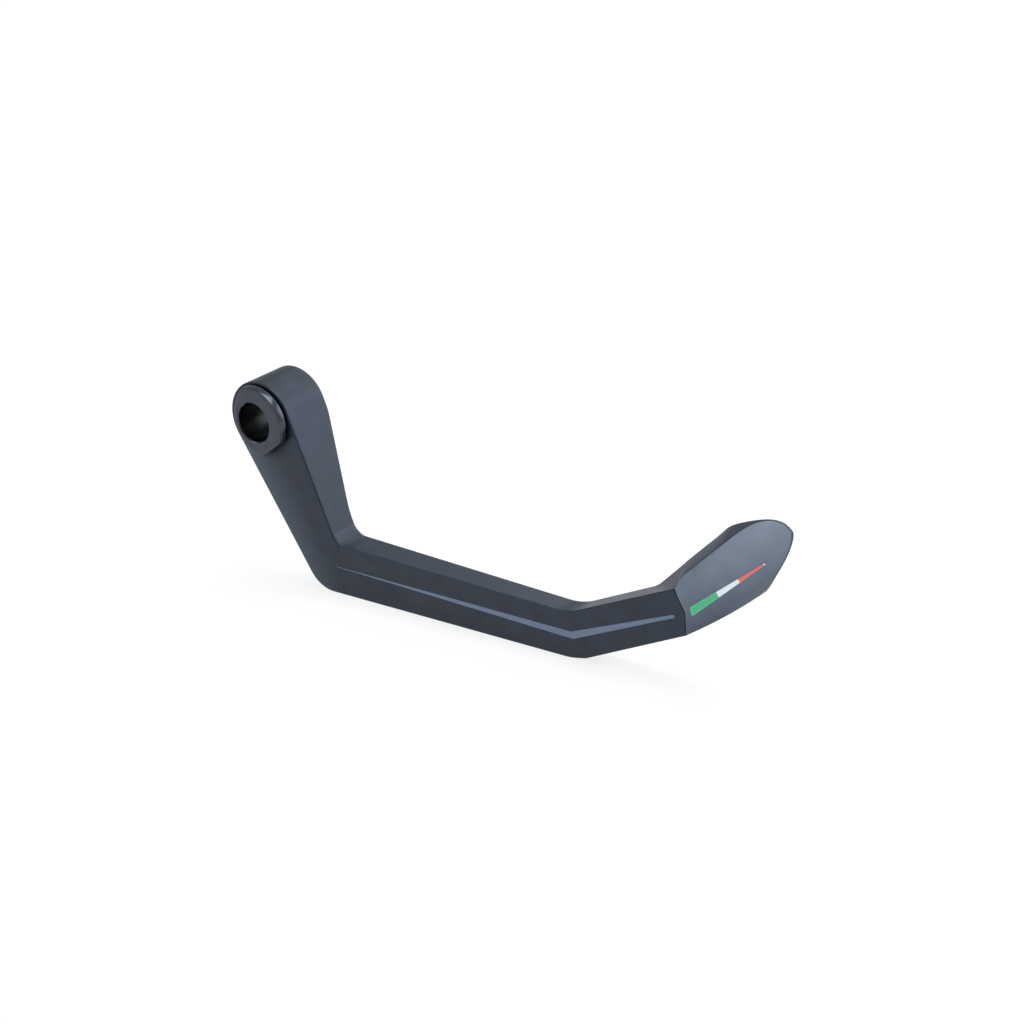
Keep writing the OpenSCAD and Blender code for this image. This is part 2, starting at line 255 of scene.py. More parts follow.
def without_holes(
    faces: Sequence[tuple[int, ...]], walls: Sequence[tuple[int, int]], outer: int
) -> list[tuple[int, ...]]:
    """Triangles that lie outside the holes.

    A hole's loop runs anticlockwise, so the triangle that holds one of its sides in that direction lies
    in the hole, and the rest of the hole is found from there without crossing a loop.

    Args:
        faces: Anticlockwise triangles.
        walls: Directed sides of all the loops, the outer loop's first.
        outer: How many of the sides belong to the outer loop.

    Returns:
        The triangles that are kept.
    """
    owner = {(f[i], f[i - 2]): k for k, f in enumerate(faces) for i in range(3)}
    closed = set(walls) | {(b, a) for a, b in walls}
    found = [owner[side] for side in walls[outer:] if side in owner]
    dropped: set[int] = set()
    while found:
        k = found.pop()
        if k in dropped:
            continue
        dropped.add(k)
        f = faces[k]
        sides = [(f[i], f[i - 2]) for i in range(3)]
        found += [owner[b, a] for a, b in sides if (a, b) not in closed and (b, a) in owner]
    return [f for k, f in enumerate(faces) if k not in dropped]


class MeshBuilder:
    """Collects points and faces of one piece, in millimetres, and makes its Blender object."""

    def __init__(self) -> None:
        """Starts empty."""
        self.points: list[Array] = []
        self.faces: list[tuple[int, ...]] = []
        self.count = 0

    def add(self, points: Array) -> Array:
        """Adds points and returns their indices, in the shape of their grid."""
        flat = points.reshape(-1, 3)
        index = np.arange(self.count, self.count + len(flat)).reshape(points.shape[:-1])
        self.points.append(flat)
        self.count += len(flat)
        return index

    def grid(self, index: Array, around: bool = False, along: bool = False) -> None:
        """Adds the quads of a grid of indices.

        Args:
            index: Indices in rows and columns.
            around: Whether each row closes on itself.
            along: Whether the last row joins the first.
        """
        rows = np.vstack([index, index[:1]]) if along else index
        rows = np.hstack([rows, rows[:, :1]]) if around else rows
        quads = np.stack([rows[:-1, :-1], rows[:-1, 1:], rows[1:, 1:], rows[1:, :-1]], axis=-1)
        self.faces += [tuple(int(v) for v in q) for q in quads.reshape(-1, 4)]

    @staticmethod
    def _between(loops: Sequence[Array], spacing: float) -> Array:
        """Grid of plane points inside the first loop and outside the others, clear of them all."""
        axes = [np.arange(a + spacing / 2, b, spacing) for a, b in zip(loops[0].min(0), loops[0].max(0))]
        free = np.stack(np.meshgrid(*axes, indexing="ij"), axis=-1).reshape(-1, 2)
        keep = np.full(len(free), True)
        for k, loop in enumerate(loops):
            keep &= inside(free, loop) != (k > 0)
            keep[keep] &= distance_to(free[keep], loop) > CLEAR_SHARE * spacing
        return free[keep]

    def cap(
        self,
        loops: Sequence[tuple[Array, Array]],
        towards_front: bool,
        lift: Callable[[Array], Array] | None = None,
        spacing: float = 3.0,
    ) -> None:
        """Fills the space between an outer loop and the holes in it.

        A constrained Delaunay triangulation joins the loops and, where a lift is given, a grid of
        points between them.

        Args:
            loops: (indices, plane points) of the outer loop first and then of each hole.
            towards_front: Whether the faces look to -Y, with the plane's axes as X and Z.
            lift: Gives the place in space of plane points.
            spacing: Distance between the grid's points.
        """
        planes = [plane for _, plane in loops]
        free = self._between(planes, spacing) if lift else np.zeros((0, 2))
        edges: list[tuple[int, int]] = []
        for plane in planes:
            start, n = len(edges), len(plane)
            edges += [(start + i, start + (i + 1) % n) for i in range(n)]
        place = [Vector(p) for p in np.concatenate([*planes, free])]
        within = 1
        _, _, tris, origin, _, _ = delaunay_2d_cdt(place, edges, [], within, MERGE)
        parts = [np.ravel(index) for index, _ in loops]
        if len(free):
            parts.append(self.add(lift(free)))
        table = np.concatenate(parts)
        faces = [tuple(origin[v][0] for v in t) for t in tris]
        for face in without_holes(faces, edges, len(planes[0])):
            a, b, c = (int(table[v]) for v in face)
            self.faces.append((a, b, c) if towards_front else (a, c, b))

    def build(
        self, name: str, smooth: bool = True, masks: dict[str, Array] | None = None
    ) -> bpy.types.Object:
        """Makes the mesh object, in metres, at the origin, with a mask for each point where given."""
        mesh = bpy.data.meshes.new(name)
        mesh.from_pydata((np.concatenate(self.points) * MM).tolist(), [], self.faces)
        for key, values in (masks or {}).items():
            mesh.attributes.new(key, "FLOAT", "POINT").data.foreach_set("value", values.astype(np.float32))
        mesh.validate()
        mesh.polygons.foreach_set("use_smooth", np.full(len(mesh.polygons), smooth))
        return linked(name, mesh)


def linked(name: str, data: bpy.types.ID) -> bpy.types.Object:
    """Makes an object of a mesh, a camera or a lamp and links it to the scene."""
    obj = bpy.data.objects.new(name, data)
    bpy.context.collection.objects.link(obj)
    return obj


def outward(obj: bpy.types.Object) -> bpy.types.Object:
    """Merges doubles and turns every face of a closed mesh outwards."""
    work = bmesh.new()
    work.from_mesh(obj.data)
    bmesh.ops.remove_doubles(work, verts=work.verts, dist=MERGE)
    bmesh.ops.recalc_face_normals(work, faces=work.faces)
    work.to_mesh(obj.data)
    work.free()
    return obj


def column(name: str, stacks: Sequence[Array], smooth: bool = False) -> bpy.types.Object:
    """Closed solid with flat ends.

    Args:
        name: Name of its object.
        stacks: Rings from the front end to the back end, for the outside first and then for each hole.
        smooth: Whether it is shaded smooth.

    Returns:
        The solid.
    """
    mesh = MeshBuilder()
    ends: tuple[list[tuple[Array, Array]], ...] = ([], [])
    for stack in stacks:
        rows = mesh.add(stack)
        mesh.grid(rows, around=True)
        for k, end in zip((0, -1), ends):
            end.append((rows[k], flat(stack[k])))
    mesh.cap(ends[0], True)
    mesh.cap(ends[1], False)
    return outward(mesh.build(name, smooth))


def sharpen(obj: bpy.types.Object, angle: float = 35.0) -> bpy.types.Object:
    """Marks edges that turn by more than an angle as sharp, and weights the normals by face area."""
    obj.data.set_sharp_from_angle(angle=math.radians(angle))
    modifier = obj.modifiers.new("weighted normals", "WEIGHTED_NORMAL")
    modifier.mode = "FACE_AREA"
    modifier.keep_sharp = True
    modifier.weight = 60
    return obj


def cut(obj: bpy.types.Object, cutters: Iterable[bpy.types.Object]) -> bpy.types.Object:
    """Takes closed cutters out of a closed piece and removes them."""
    cutters = list(cutters)
    for cutter in cutters:
        modifier = obj.modifiers.new("cut", "BOOLEAN")
        modifier.operation = "DIFFERENCE"
        modifier.solver = "EXACT"
        modifier.object = cutter
    graph = bpy.context.evaluated_depsgraph_get()
    mesh = bpy.data.meshes.new_from_object(obj.evaluated_get(graph))
    obj.modifiers.clear()
    obj.data = mesh
    for cutter in cutters:
        bpy.data.objects.remove(cutter)
    return obj


def srgb(red: int, green: int, blue: int) -> Colour:
    """Linear colour of an sRGB colour with channels from 0 to 255."""
    c = np.array([red, green, blue]) / 255.0
    linear = np.where(c <= 0.04045, c / 12.92, ((c + 0.055) / 1.055) ** 2.4)
    return tuple(float(v) for v in linear)


class Socket:
    """A shader value with operators, so that shader maths reads as an expression."""

    def __init__(self, shader: "Shader", output: bpy.types.NodeSocket) -> None:
        """Wraps an output of a node in a shader."""
        self.shader = shader
        self.output = output

    def _math(self, operation: str, *values: "Socket | float") -> "Socket":
        """Math node of that operation on the values."""
        return self.shader.node("ShaderNodeMath", {"operation": operation}, dict(enumerate(values)))

    def __add__(self, other: "Socket | float") -> "Socket":
        """Sum."""
        return self._math("ADD", self, other)

    __radd__ = __add__

    def __mul__(self, other: "Socket | float") -> "Socket":
        """Product."""
        return self._math("MULTIPLY", self, other)

    __rmul__ = __mul__

    def __sub__(self, other: "Socket | float") -> "Socket":
        """Difference."""
        return self._math("SUBTRACT", self, other)

    def __rsub__(self, other: float) -> "Socket":
        """Difference with the value on the right."""
        return self._math("SUBTRACT", other, self)

    def __pow__(self, other: float) -> "Socket":
        """Power."""
        return self._math("POWER", self, other)

    def clamp(self, low: float, high: float) -> "Socket":
        """Value moved from the range between low and high to the range between 0 and 1, and held there."""
        return self.shader.node(
            "ShaderNodeMapRange", {"clamp": True}, {"Value": self, "From Min": low, "From Max": high}
        )

    def around(self, spread: float) -> "Socket":
        """Value of a range from 0 to 1 moved to a range of that spread around 0."""
        return (self - 0.5) * spread

    def sin(self) -> "Socket":
        """Sine."""
        return self._math("SINE", self)

    def sqrt(self) -> "Socket":
        """Square root."""
        return self._math("SQRT", self)


class Shader:
    """One procedural material on Object coordinates."""

    def __init__(self, name: str) -> None:
        """Makes an empty node material with its principled shader."""
        self.material = bpy.data.materials.new(name)
        self.material.use_nodes = True
        self.tree = self.material.node_tree
        self.tree.nodes.clear()
        self.out = self.tree.nodes.new("ShaderNodeOutputMaterial")
        self.surface = self.tree.nodes.new("ShaderNodeBsdfPrincipled")
        self.tree.links.new(self.surface.outputs[0], self.out.inputs[0])

    def node(self, kind: str, settings: dict, values: dict, output: int | str = 0) -> Socket:
        """Adds a node.

        Args:
            kind: Type of the node.
            settings: Properties, set before the sockets.
            values: Values or sockets for its inputs, by name or number.
            output: Which output the result is.

        Returns:
            The output, wrapped.
        """
        made = self.tree.nodes.new(kind)
        for key, value in settings.items():
            setattr(made, key, value)
        for key, value in values.items():
            self.link(made.inputs[key], value)
        return Socket(self, made.outputs[output])

    def link(self, socket: bpy.types.NodeSocket, value: "Socket | float | Sequence[float]") -> None:
        """Links or sets an input."""
        if isinstance(value, Socket):
            self.tree.links.new(value.output, socket)
        else:
            socket.default_value = value

    def set(self, **values: "Socket | float | Sequence[float]") -> None:
        """Sets inputs of the principled shader, with spaces written as underscores."""
        for key, value in values.items():
            self.link(self.surface.inputs[key.replace("_", " ")], value)

    def place(self) -> Socket:
        """Object coordinates, in metres."""
        return self.node("ShaderNodeTexCoord", {}, {}, "Object")

    def axes(self) -> tuple[Socket, Socket, Socket]:
        """X, Y and Z of the Object coordinates."""
        split = self.tree.nodes.new("ShaderNodeSeparateXYZ")
        self.link(split.inputs[0], self.place())
        return tuple(Socket(self, o) for o in split.outputs)

    def polar(self) -> tuple[Socket, Socket]:
        """Distance from the Y axis, which is the bore's, and depth along it."""
        x, y, z = self.axes()
        return (x * x + z * z).sqrt(), y

    def ramp(self, point: Sequence[float], angle: float, low: float, high: float) -> Socket:
        """Mask that grows from 0 to 1 along a direction of the front plane.

        Args:
            point: (x, z) from which the distance is measured, in millimetres.
            angle: The direction, in degrees.
            low: Distance at which the mask is 0.
            high: Distance at which it is 1.

        Returns:
            The mask.
        """
        x, _, z = self.axes()
        along = direction(angle)
        distance = (x - point[0] * MM) * float(along[0]) + (z - point[1] * MM) * float(along[1])
        return distance.clamp(low * MM, high * MM)

    def attribute(self, name: str) -> Socket:
        """A piece's own point attribute."""
        return self.node("ShaderNodeAttribute", {"attribute_name": name}, {}, "Fac")

    def noise(self, size: float, detail: float = 3.0, roughness: float = 0.55) -> Socket:
        """Noise whose features are about a size in millimetres."""
        values = {"Vector": self.place(), "Scale": 1 / (size * MM), "Detail": detail, "Roughness": roughness}
        return self.node("ShaderNodeTexNoise", {}, values)

    def blend(
        self, mask: Socket | float, first: "Socket | Sequence[float]", second: "Socket | Sequence[float]"
    ) -> Socket:
        """Colour that goes from the first to the second as the mask goes from 0 to 1."""
        mixed = self.tree.nodes.new("ShaderNodeMix")
        mixed.data_type = "RGBA"
        self.link(mixed.inputs["Factor"], mask)
        for number, colour in ((6, first), (7, second)):
            self.link(mixed.inputs[number], colour if isinstance(colour, Socket) else (*colour, 1.0))
        return Socket(self, mixed.outputs[2])

    def bump(self, height: Socket, distance: float, strength: float = 0.5) -> Socket:
        """Normal bumped by a height whose full range is a distance in millimetres."""
        values = {"Height": height, "Distance": distance * MM, "Strength": strength}
        return self.node("ShaderNodeBump", {}, values, "Normal")


@dataclass(frozen=True)
class Finish:
    """A procedural finish, whose sizes, distances and depths are in millimetres.

    Each kind names its share of metal, its middle roughness, the size of its grain or clouds and the
    depth of its relief.

    Attributes:
        name: Name of the material.
    """

    name: str

    def material(self) -> bpy.types.Material:
        """Builds the node material."""
        s = Shader(self.name)
        self.apply(s)
        return s.material

    def apply(self, s: Shader) -> None:
        """Sets the shader's inputs, which each kind of finish does in its own way."""
        raise NotImplementedError


@dataclass(frozen=True)
class Anodised(Finish):
    """Satin anodised aluminium: a fine blasted grain, faint clouding and soft gloss.

    Attributes:
        dark, light: Colours of the darker and the lighter clouds.
        specular: Level of the clear gloss.
        painted_sheen: Colour of the painted pale sheen on the coat beside the arm's outer edge.
            painted_sheen_from, painted_sheen_angle: (x, z) of a point on that edge, and the direction away
                from it.
            painted_sheen_reach, painted_sheen_fade: How far the painted sheen reaches, and the power by
                which it fades.
        painted_shadow, painted_shadow_radii: Colour of the painted contact shadow round the bush's flange,
            and the radii between which it fades.
        painted_shadow_depth, painted_shadow_share: Depth at which it has faded out, and its share where it
        is darkest.
    """

    dark: Colour
    light: Colour
    metallic: float = 0.45
    roughness: float = 0.38
    specular: float = 0.35
    grain: float = 0.22
    relief: float = 0.012
    cloud: float = 6.0
    painted_sheen: Colour = srgb(84, 91, 101)
    painted_sheen_from: tuple[float, float] = (-8.45, -5.34)
    painted_sheen_angle: float = 28.0
    painted_sheen_reach: float = 11.0
    painted_sheen_fade: float = 0.6
    painted_shadow_radii: tuple[float, float] = (8.9, 11.2)
    painted_shadow_depth: float = 0.3
    painted_shadow_share: float = 0.9
    painted_shadow: Colour = (0.002, 0.002, 0.003)

    def apply(self, s: Shader) -> None:
        """Sets the clouded coat, a painted pale sheen beside the arm's outer edge and a painted contact
        shadow round the flange.
        """
        clouds = s.noise(self.cloud, 4.0)
        grain = s.noise(self.grain, 2.0, 0.7)
        colour = s.blend(clouds.clamp(0.3, 0.7) * 0.7 + grain * 0.3, self.dark, self.light)
        # Painted sheen: the coat is painted paler beside the arm's outer edge and fades away from it.
        away = s.ramp(self.painted_sheen_from, self.painted_sheen_angle, 0.0, self.painted_sheen_reach)
        radius, y = s.polar()
        # Painted contact shadow: the arm's front face goes dark close round the bush's flange, fading
        # outwards and with depth.
        near = 1 - radius.clamp(*(r * MM for r in self.painted_shadow_radii))
        painted_shadow = near * near * (1 - y.clamp(0.0, self.painted_shadow_depth * MM))
        with_sheen = s.blend(away ** self.painted_sheen_fade, self.painted_sheen, colour)
        s.set(
            Base_Color=s.blend(painted_shadow * self.painted_shadow_share, with_sheen, self.painted_shadow),
            Metallic=self.metallic,
            Roughness=self.roughness + grain.around(0.16) + clouds.around(0.1),
            Specular_IOR_Level=self.specular,
            Normal=s.bump(grain, self.relief),
        )


@dataclass(frozen=True)
class Turned(Finish):
    """Turned and blackened metal: fine rings round the bore's axis and a sharper gloss.

    Attributes:
        dark, light: Colours of the darker and the lighter clouds.
        painted_recess_shade: Colour of the painted shade inside the bore and in the groove behind the
            flange.
            bore_r, bore_fade: Radius of the bore, and how far beyond it the painted shade fades out.
            groove, groove_fade: Height of the groove, and the height over which the painted shade fades in.
        pitch: Distance between the rings.
    """

    dark: Colour
    light: Colour
    painted_recess_shade: Colour = (0.004, 0.004, 0.005)
    bore_r: float = 5.15
    bore_fade: float = 0.25
    groove: float = 0.72
    groove_fade: float = 0.03
    cloud: float = 1.6
    pitch: float = 0.22
    relief: float = 0.003
    metallic: float = 0.6
    roughness: float = 0.2

    def apply(self, s: Shader) -> None:
        """Sets the coat, with rings from the sine of the distance to the bore's axis, and paints shade
        inside the bore and in the groove behind the flange.
        """
        radius, y = s.polar()
        rings = (radius * (2 * math.pi / (self.pitch * MM))).sin() * 0.5 + 0.5
        cloud = s.noise(self.cloud)
        # Painted shade: the coat goes dark inside the bore and in the groove behind the flange.
        inner = 1 - radius.clamp(self.bore_r * MM, (self.bore_r + self.bore_fade) * MM)
        behind = y.clamp(-(self.groove + self.groove_fade) * MM, -self.groove * MM)
        colour = s.blend(cloud.clamp(0.3, 0.7), self.dark, self.light)
        s.set(
            Base_Color=s.blend((inner + behind).clamp(0.0, 1.0), colour, self.painted_recess_shade),
            Metallic=self.metallic,
            Roughness=self.roughness + rings * 0.05 + cloud.around(0.08),
            Normal=s.bump(rings + cloud * 0.4, self.relief),
        )


@dataclass(frozen=True)
class Moulded(Finish):
    """Moulded tip: a smooth satin face, darker flanks and back, and a thin painted shadow line where they
    meet.

    The face is painted darkest at its lower root and paler across it and towards the nose: painted shade
    below and painted light towards the upper side and the nose.

    Attributes:
        low, high: Colours of the face's lower and upper sides, each at the root and at the nose, which paint
            its shade and light.
        flank, line: Colours of the flanks and the back, and of the painted shadow line at the face's edge.
        root, angle: (x, z) of the seam's kink, and the direction of the tip's axis.
        along, across: Distances from the root, and from the axis, over which the face is painted paler.
        mottle: Size of the mottling.
        flank_rough: How much rougher the flanks are.
        specular: Level of the clear gloss.
    """

    low: tuple[Colour, Colour]
    high: tuple[Colour, Colour]
    flank: Colour
    line: Colour
    root: tuple[float, float] = (130.4, -23.5)
    angle: float = 41.6
    along: tuple[float, float] = (6.0, 34.0)
    across: float = 5.0
    grain: float = 0.3
    relief: float = 0.01
    mottle: float = 5.0
    metallic: float = 0.25
    roughness: float = 0.34
    flank_rough: float = 0.2
    specular: float = 0.3

    def apply(self, s: Shader) -> None:
        """Sets the coat, whose masks are the mesh's attributes face and line."""
        grain = s.noise(self.grain, 2.0, 0.6)
        mottle = s.noise(self.mottle, 3.0, 0.5)
        uneven = mottle.around(0.3) + grain.around(0.15)
        # Painted shade and light: the face is painted darker at its lower root and paler across it and
        # towards the nose.
        along = (s.ramp(self.root, self.angle, *self.along) + uneven).clamp(0.0, 1.0)
        across = (s.ramp(self.root, self.angle + 90, -self.across, self.across) + uneven).clamp(0.0, 1.0)
        face = s.blend(across, s.blend(along, *self.low), s.blend(along, *self.high))
        front = s.attribute("face")
        rough = self.roughness + (1 - front) * self.flank_rough
        s.set(
            # The line mask paints a thin dark shadow on the flanks beside the face's edge.
            Base_Color=s.blend(s.attribute("line"), s.blend(front, self.flank, face), self.line),
            Metallic=front * self.metallic,
            Roughness=rough + grain.around(0.14) + mottle.around(0.08),
            Specular_IOR_Level=self.specular,
            Normal=s.bump(grain, self.relief),
        )


@dataclass(frozen=True)
class Steel(Finish):
    """Blackened steel of the screws: fine pitting and patches of faint wear.

    Attributes:
        dark, bare: Colours of the blackened steel and of its patches of wear.
        pit, patch: Sizes of the pits and of the patches.
    """

    name: str = "blackened steel"
    dark: Colour = (0.05, 0.05, 0.055)
    bare: Colour = (0.075, 0.075, 0.08)
    metallic: float = 0.9
    roughness: float = 0.36
    pit: float = 0.25
    patch: float = 2.5
    relief: float = 0.01

    def apply(self, s: Shader) -> None:
        """Sets the pitted coat and its worn patches."""
        pits = s.noise(self.pit, 3.0, 0.6)
        wear = s.noise(self.patch, 2.0, 0.5)
        s.set(
            Base_Color=s.blend(wear.clamp(0.35, 0.75), self.dark, self.bare),
            Metallic=self.metallic,
            Roughness=self.roughness + pits.around(0.2),
            Normal=s.bump(pits, self.relief, 0.6),
        )


@dataclass(frozen=True)
class Paint(Finish):
    """Pad-printed or filled colour, even with a slight grain.

    Attributes:
        colour: Its colour.
        dark_share: Brightness of its darkest grains, as a share of the colour's.
    """

    colour: Colour
    metallic: float = 0.0
    roughness: float = 0.4
    dark_share: float = 0.86
    grain: float = 0.4
    relief: float = 0.008

    def apply(self, s: Shader) -> None:
        """Sets the grained colour."""
        grain = s.noise(self.grain, 2.0)
        darker = tuple(c * self.dark_share for c in self.colour)
        s.set(
            Base_Color=s.blend(grain.clamp(0.35, 0.65), darker, self.colour),
            Metallic=self.metallic,
            Roughness=self.roughness + grain.around(0.15),
            Normal=s.bump(grain, self.relief, 0.4),
        )


def coat(obj: bpy.types.Object, finish: Finish) -> bpy.types.Object:
    """Gives an object a finish as its only material."""
    obj.data.materials.clear()
    obj.data.materials.append(finish.material())
    return obj


def dress(obj: bpy.types.Object, finish: Finish) -> bpy.types.Object:
    """Gives a piece its finish and the body that carries it."""
    coat(obj, finish)
    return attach(obj, "root")


@dataclass
class Profile:
    """Driving sizes of the arm's front outline, as in the part's source, and the points they give.

    Attributes:
        kink_share: Share of the seam's height at which its kink lies.
        taper_ease, axis_ease: Half widths of the back face's bends at the taper's end and at the axis.
        corner_ease, waist_ease: The same at the ends of the plan view's slopes, and between the slopes.
        plan_from: Distance beyond the inner bend from which the plan view counts.
        arc_step: Largest turn between two points of an arc, in degrees.
    """

    eye_r: float = 10.0
    eye_depth: float = 14.0
    outer_angle: float = 58.5
    inner_angle: float = 69.2
    drop: float = 43.3
    taper: float = 24.0
    inner_r: float = 4.5
    outer_r: float = 8.5
    blade_len: float = 85.4
    blade_h_arm: float = 13.7
    blade_h_bend: float = 11.8
    blade_t_arm: float = 8.6
    blade_t_bend: float = 6.6
    sweep: float = 11.5
    sweep_len: float = 4.5
    rise_angle: float = 23.7
    rise_len: float = 32.8
    rise_h_bend: float = 12.0
    rise_h_seam: float = 11.5
    seam_t: float = 8.2
    seam_kink: float = 2.4
    seam_lead: float = 1.9
    sweep_r: float = 20.0
    rise_bend_r: float = 18.0
    kink_share: float = 0.45
    taper_ease: float = 2.5
    axis_ease: float = 1.5
    corner_ease: float = 0.5
    waist_ease: float = 5.0
    plan_from: float = 1.0
    arc_step: float = 2.5

    def __post_init__(self) -> None:
        """Works out the corners from the sizes."""
        ground = np.array([0.0, -self.drop])
        self.inner_touch = self.eye_r * direction(90 - self.inner_angle)
        self.outer_touch = self.eye_r * direction(-90 - self.outer_angle)
        self.low_bend = meet(self.outer_touch, -self.outer_angle, ground, 0.0)
        self.low_sweep = self.low_bend + [self.blade_len - self.sweep_len, 0.0]
        self.low_rise = self.low_sweep + self.sweep_len * np.array([1.0, math.tan(math.radians(self.sweep))])
        high_arm = self.low_bend + [0.0, self.blade_h_arm]
        fall = slope(high_arm, self.low_bend + [self.blade_len, self.blade_h_bend])
        self.rise_u = direction(self.rise_angle)
        self.rise_n = direction(self.rise_angle + 90)
        self.seam_low = self.low_rise + self.rise_len * self.rise_u
        high_rise = self.low_rise + self.rise_h_bend * self.rise_n
        high_seam = self.seam_low + self.rise_h_seam * self.rise_n
        self.rise_top = slope(high_rise, high_seam)
        self.high_bend = meet(self.inner_touch, -self.inner_angle, high_arm, fall)
        self.high_rise_bend = meet(high_arm, fall, high_rise, self.rise_top)
        kink = self.kink_share * self.rise_h_seam
        self.seam_mid = self.seam_low + self.seam_kink * self.rise_u + kink * self.rise_n
        self.seam_high = high_seam + self.seam_lead * direction(self.rise_top)

    def outline(self) -> Array:
        """Front outline of the arm, anticlockwise, from the inner touching point over the eye."""
        turn = 180 + self.inner_angle - self.outer_angle
        points = math.ceil(turn / self.arc_step) + 1
        eye = self.eye_r * on_circle(np.radians(90 - self.inner_angle + np.linspace(0, turn, points)))
        corners = [
            (eye[-1], 0.0),
            (self.low_bend, self.outer_r),
            (self.low_sweep, self.sweep_r),
            (self.low_rise, 0.0),
            (self.seam_low, 0.0),
            (self.seam_mid, 0.0),
            (self.seam_high, 0.0),
            (self.high_rise_bend, self.rise_bend_r),
            (self.high_bend, self.inner_r),
            (eye[0], 0.0),
        ]
        return np.concatenate([eye[:-1], rounded(corners, self.arc_step)[:-1]])

    def thickness(self, place: Array) -> Array:
        """Depth of the back face at points of the plane.

        It is the smaller of two depths. One falls with the height, from the eye's depth at the axis to
        the blade's thickness, with both bends eased. The other falls along the blade to the second bend
        and grows again to the seam.
        """
        x, z = place[:, 0], place[:, 1]
        fall = (self.eye_depth - self.blade_t_arm) / self.taper
        side = self.blade_t_arm + fall * soft_ramp(z + self.taper, self.taper_ease)
        side = side - fall * soft_ramp(z, self.axis_ease)
        first, second, last = self.high_bend[0], self.high_rise_bend[0], self.seam_low[0] - self.seam_kink
        thin = (self.blade_t_bend - self.blade_t_arm) / (second - first)
        thick = (self.seam_t - self.blade_t_bend) / (last - second)
        plan = self.blade_t_arm + thin * soft_ramp(x - first, self.corner_ease)
        plan = plan + (thick - thin) * soft_ramp(x - second, self.waist_ease)
        plan = plan - thick * soft_ramp(x - last, self.corner_ease)
        return np.where(x < first + self.plan_from, side, np.minimum(side, plan))


def soft_ramp(s: Array, width: float) -> Array:
    """Ramp that is 0 below zero and s above it, with its bend eased over a width on either side."""
    t = np.clip((s + width) / (2 * width), 0.0, 1.0)
    return np.where(s > width, s, width * t * t)


@dataclass
class Tongue:
    """Tongue of the arm inside the tip, and the places of the two screws in it."""

    profile: Profile
    length: float = 17.0
    height: float = 6.4
    thickness: float = 3.8
    angle: float = 39.0
    drop: float = 0.9
    root: float = 4.0
    screw_first: float = 5.5
    screw_pitch: float = 7.0
    hole_r: float = 1.55
    sides: int = 32

    def __post_init__(self) -> None:
        """Works out its axes and its depth."""
        self.u = direction(self.angle)
        self.n = direction(self.angle + 90)
        self.y = (self.profile.seam_t - self.thickness) / 2
        self.base = self.profile.seam_mid - self.drop * self.n
        self.screws = [self.base + (self.screw_first + i * self.screw_pitch) * self.u for i in range(2)]

    def outline(self, gap: float) -> Array:
        """Corners of its side view, grown by a gap, anticlockwise."""
        h = self.height / 2 + gap
        root, end = -self.root, self.length + gap
        corners = ((root, -h), (end, -h), (end, h), (root, h))
        return np.array([self.base + a * self.u + b * self.n for a, b in corners])

    def slab(self, name: str, gap: float, holes: Sequence[Array]) -> bpy.types.Object:
        """Closed slab of the tongue's outline, with round holes."""
        depths = (self.y - gap, self.y + self.thickness + gap)
        return column(name, [stacked(loop, depths) for loop in (self.outline(gap), *holes)])

    def build(self, finish: Finish, slot: Slot) -> bpy.types.Object:
        """Builds the tongue in the arm's finish."""
        circle = self.hole_r * on_circle(turns(self.sides))
        return dress(self.slab("tip_tongue", 0.0, [p + circle for p in self.screws]), finish)


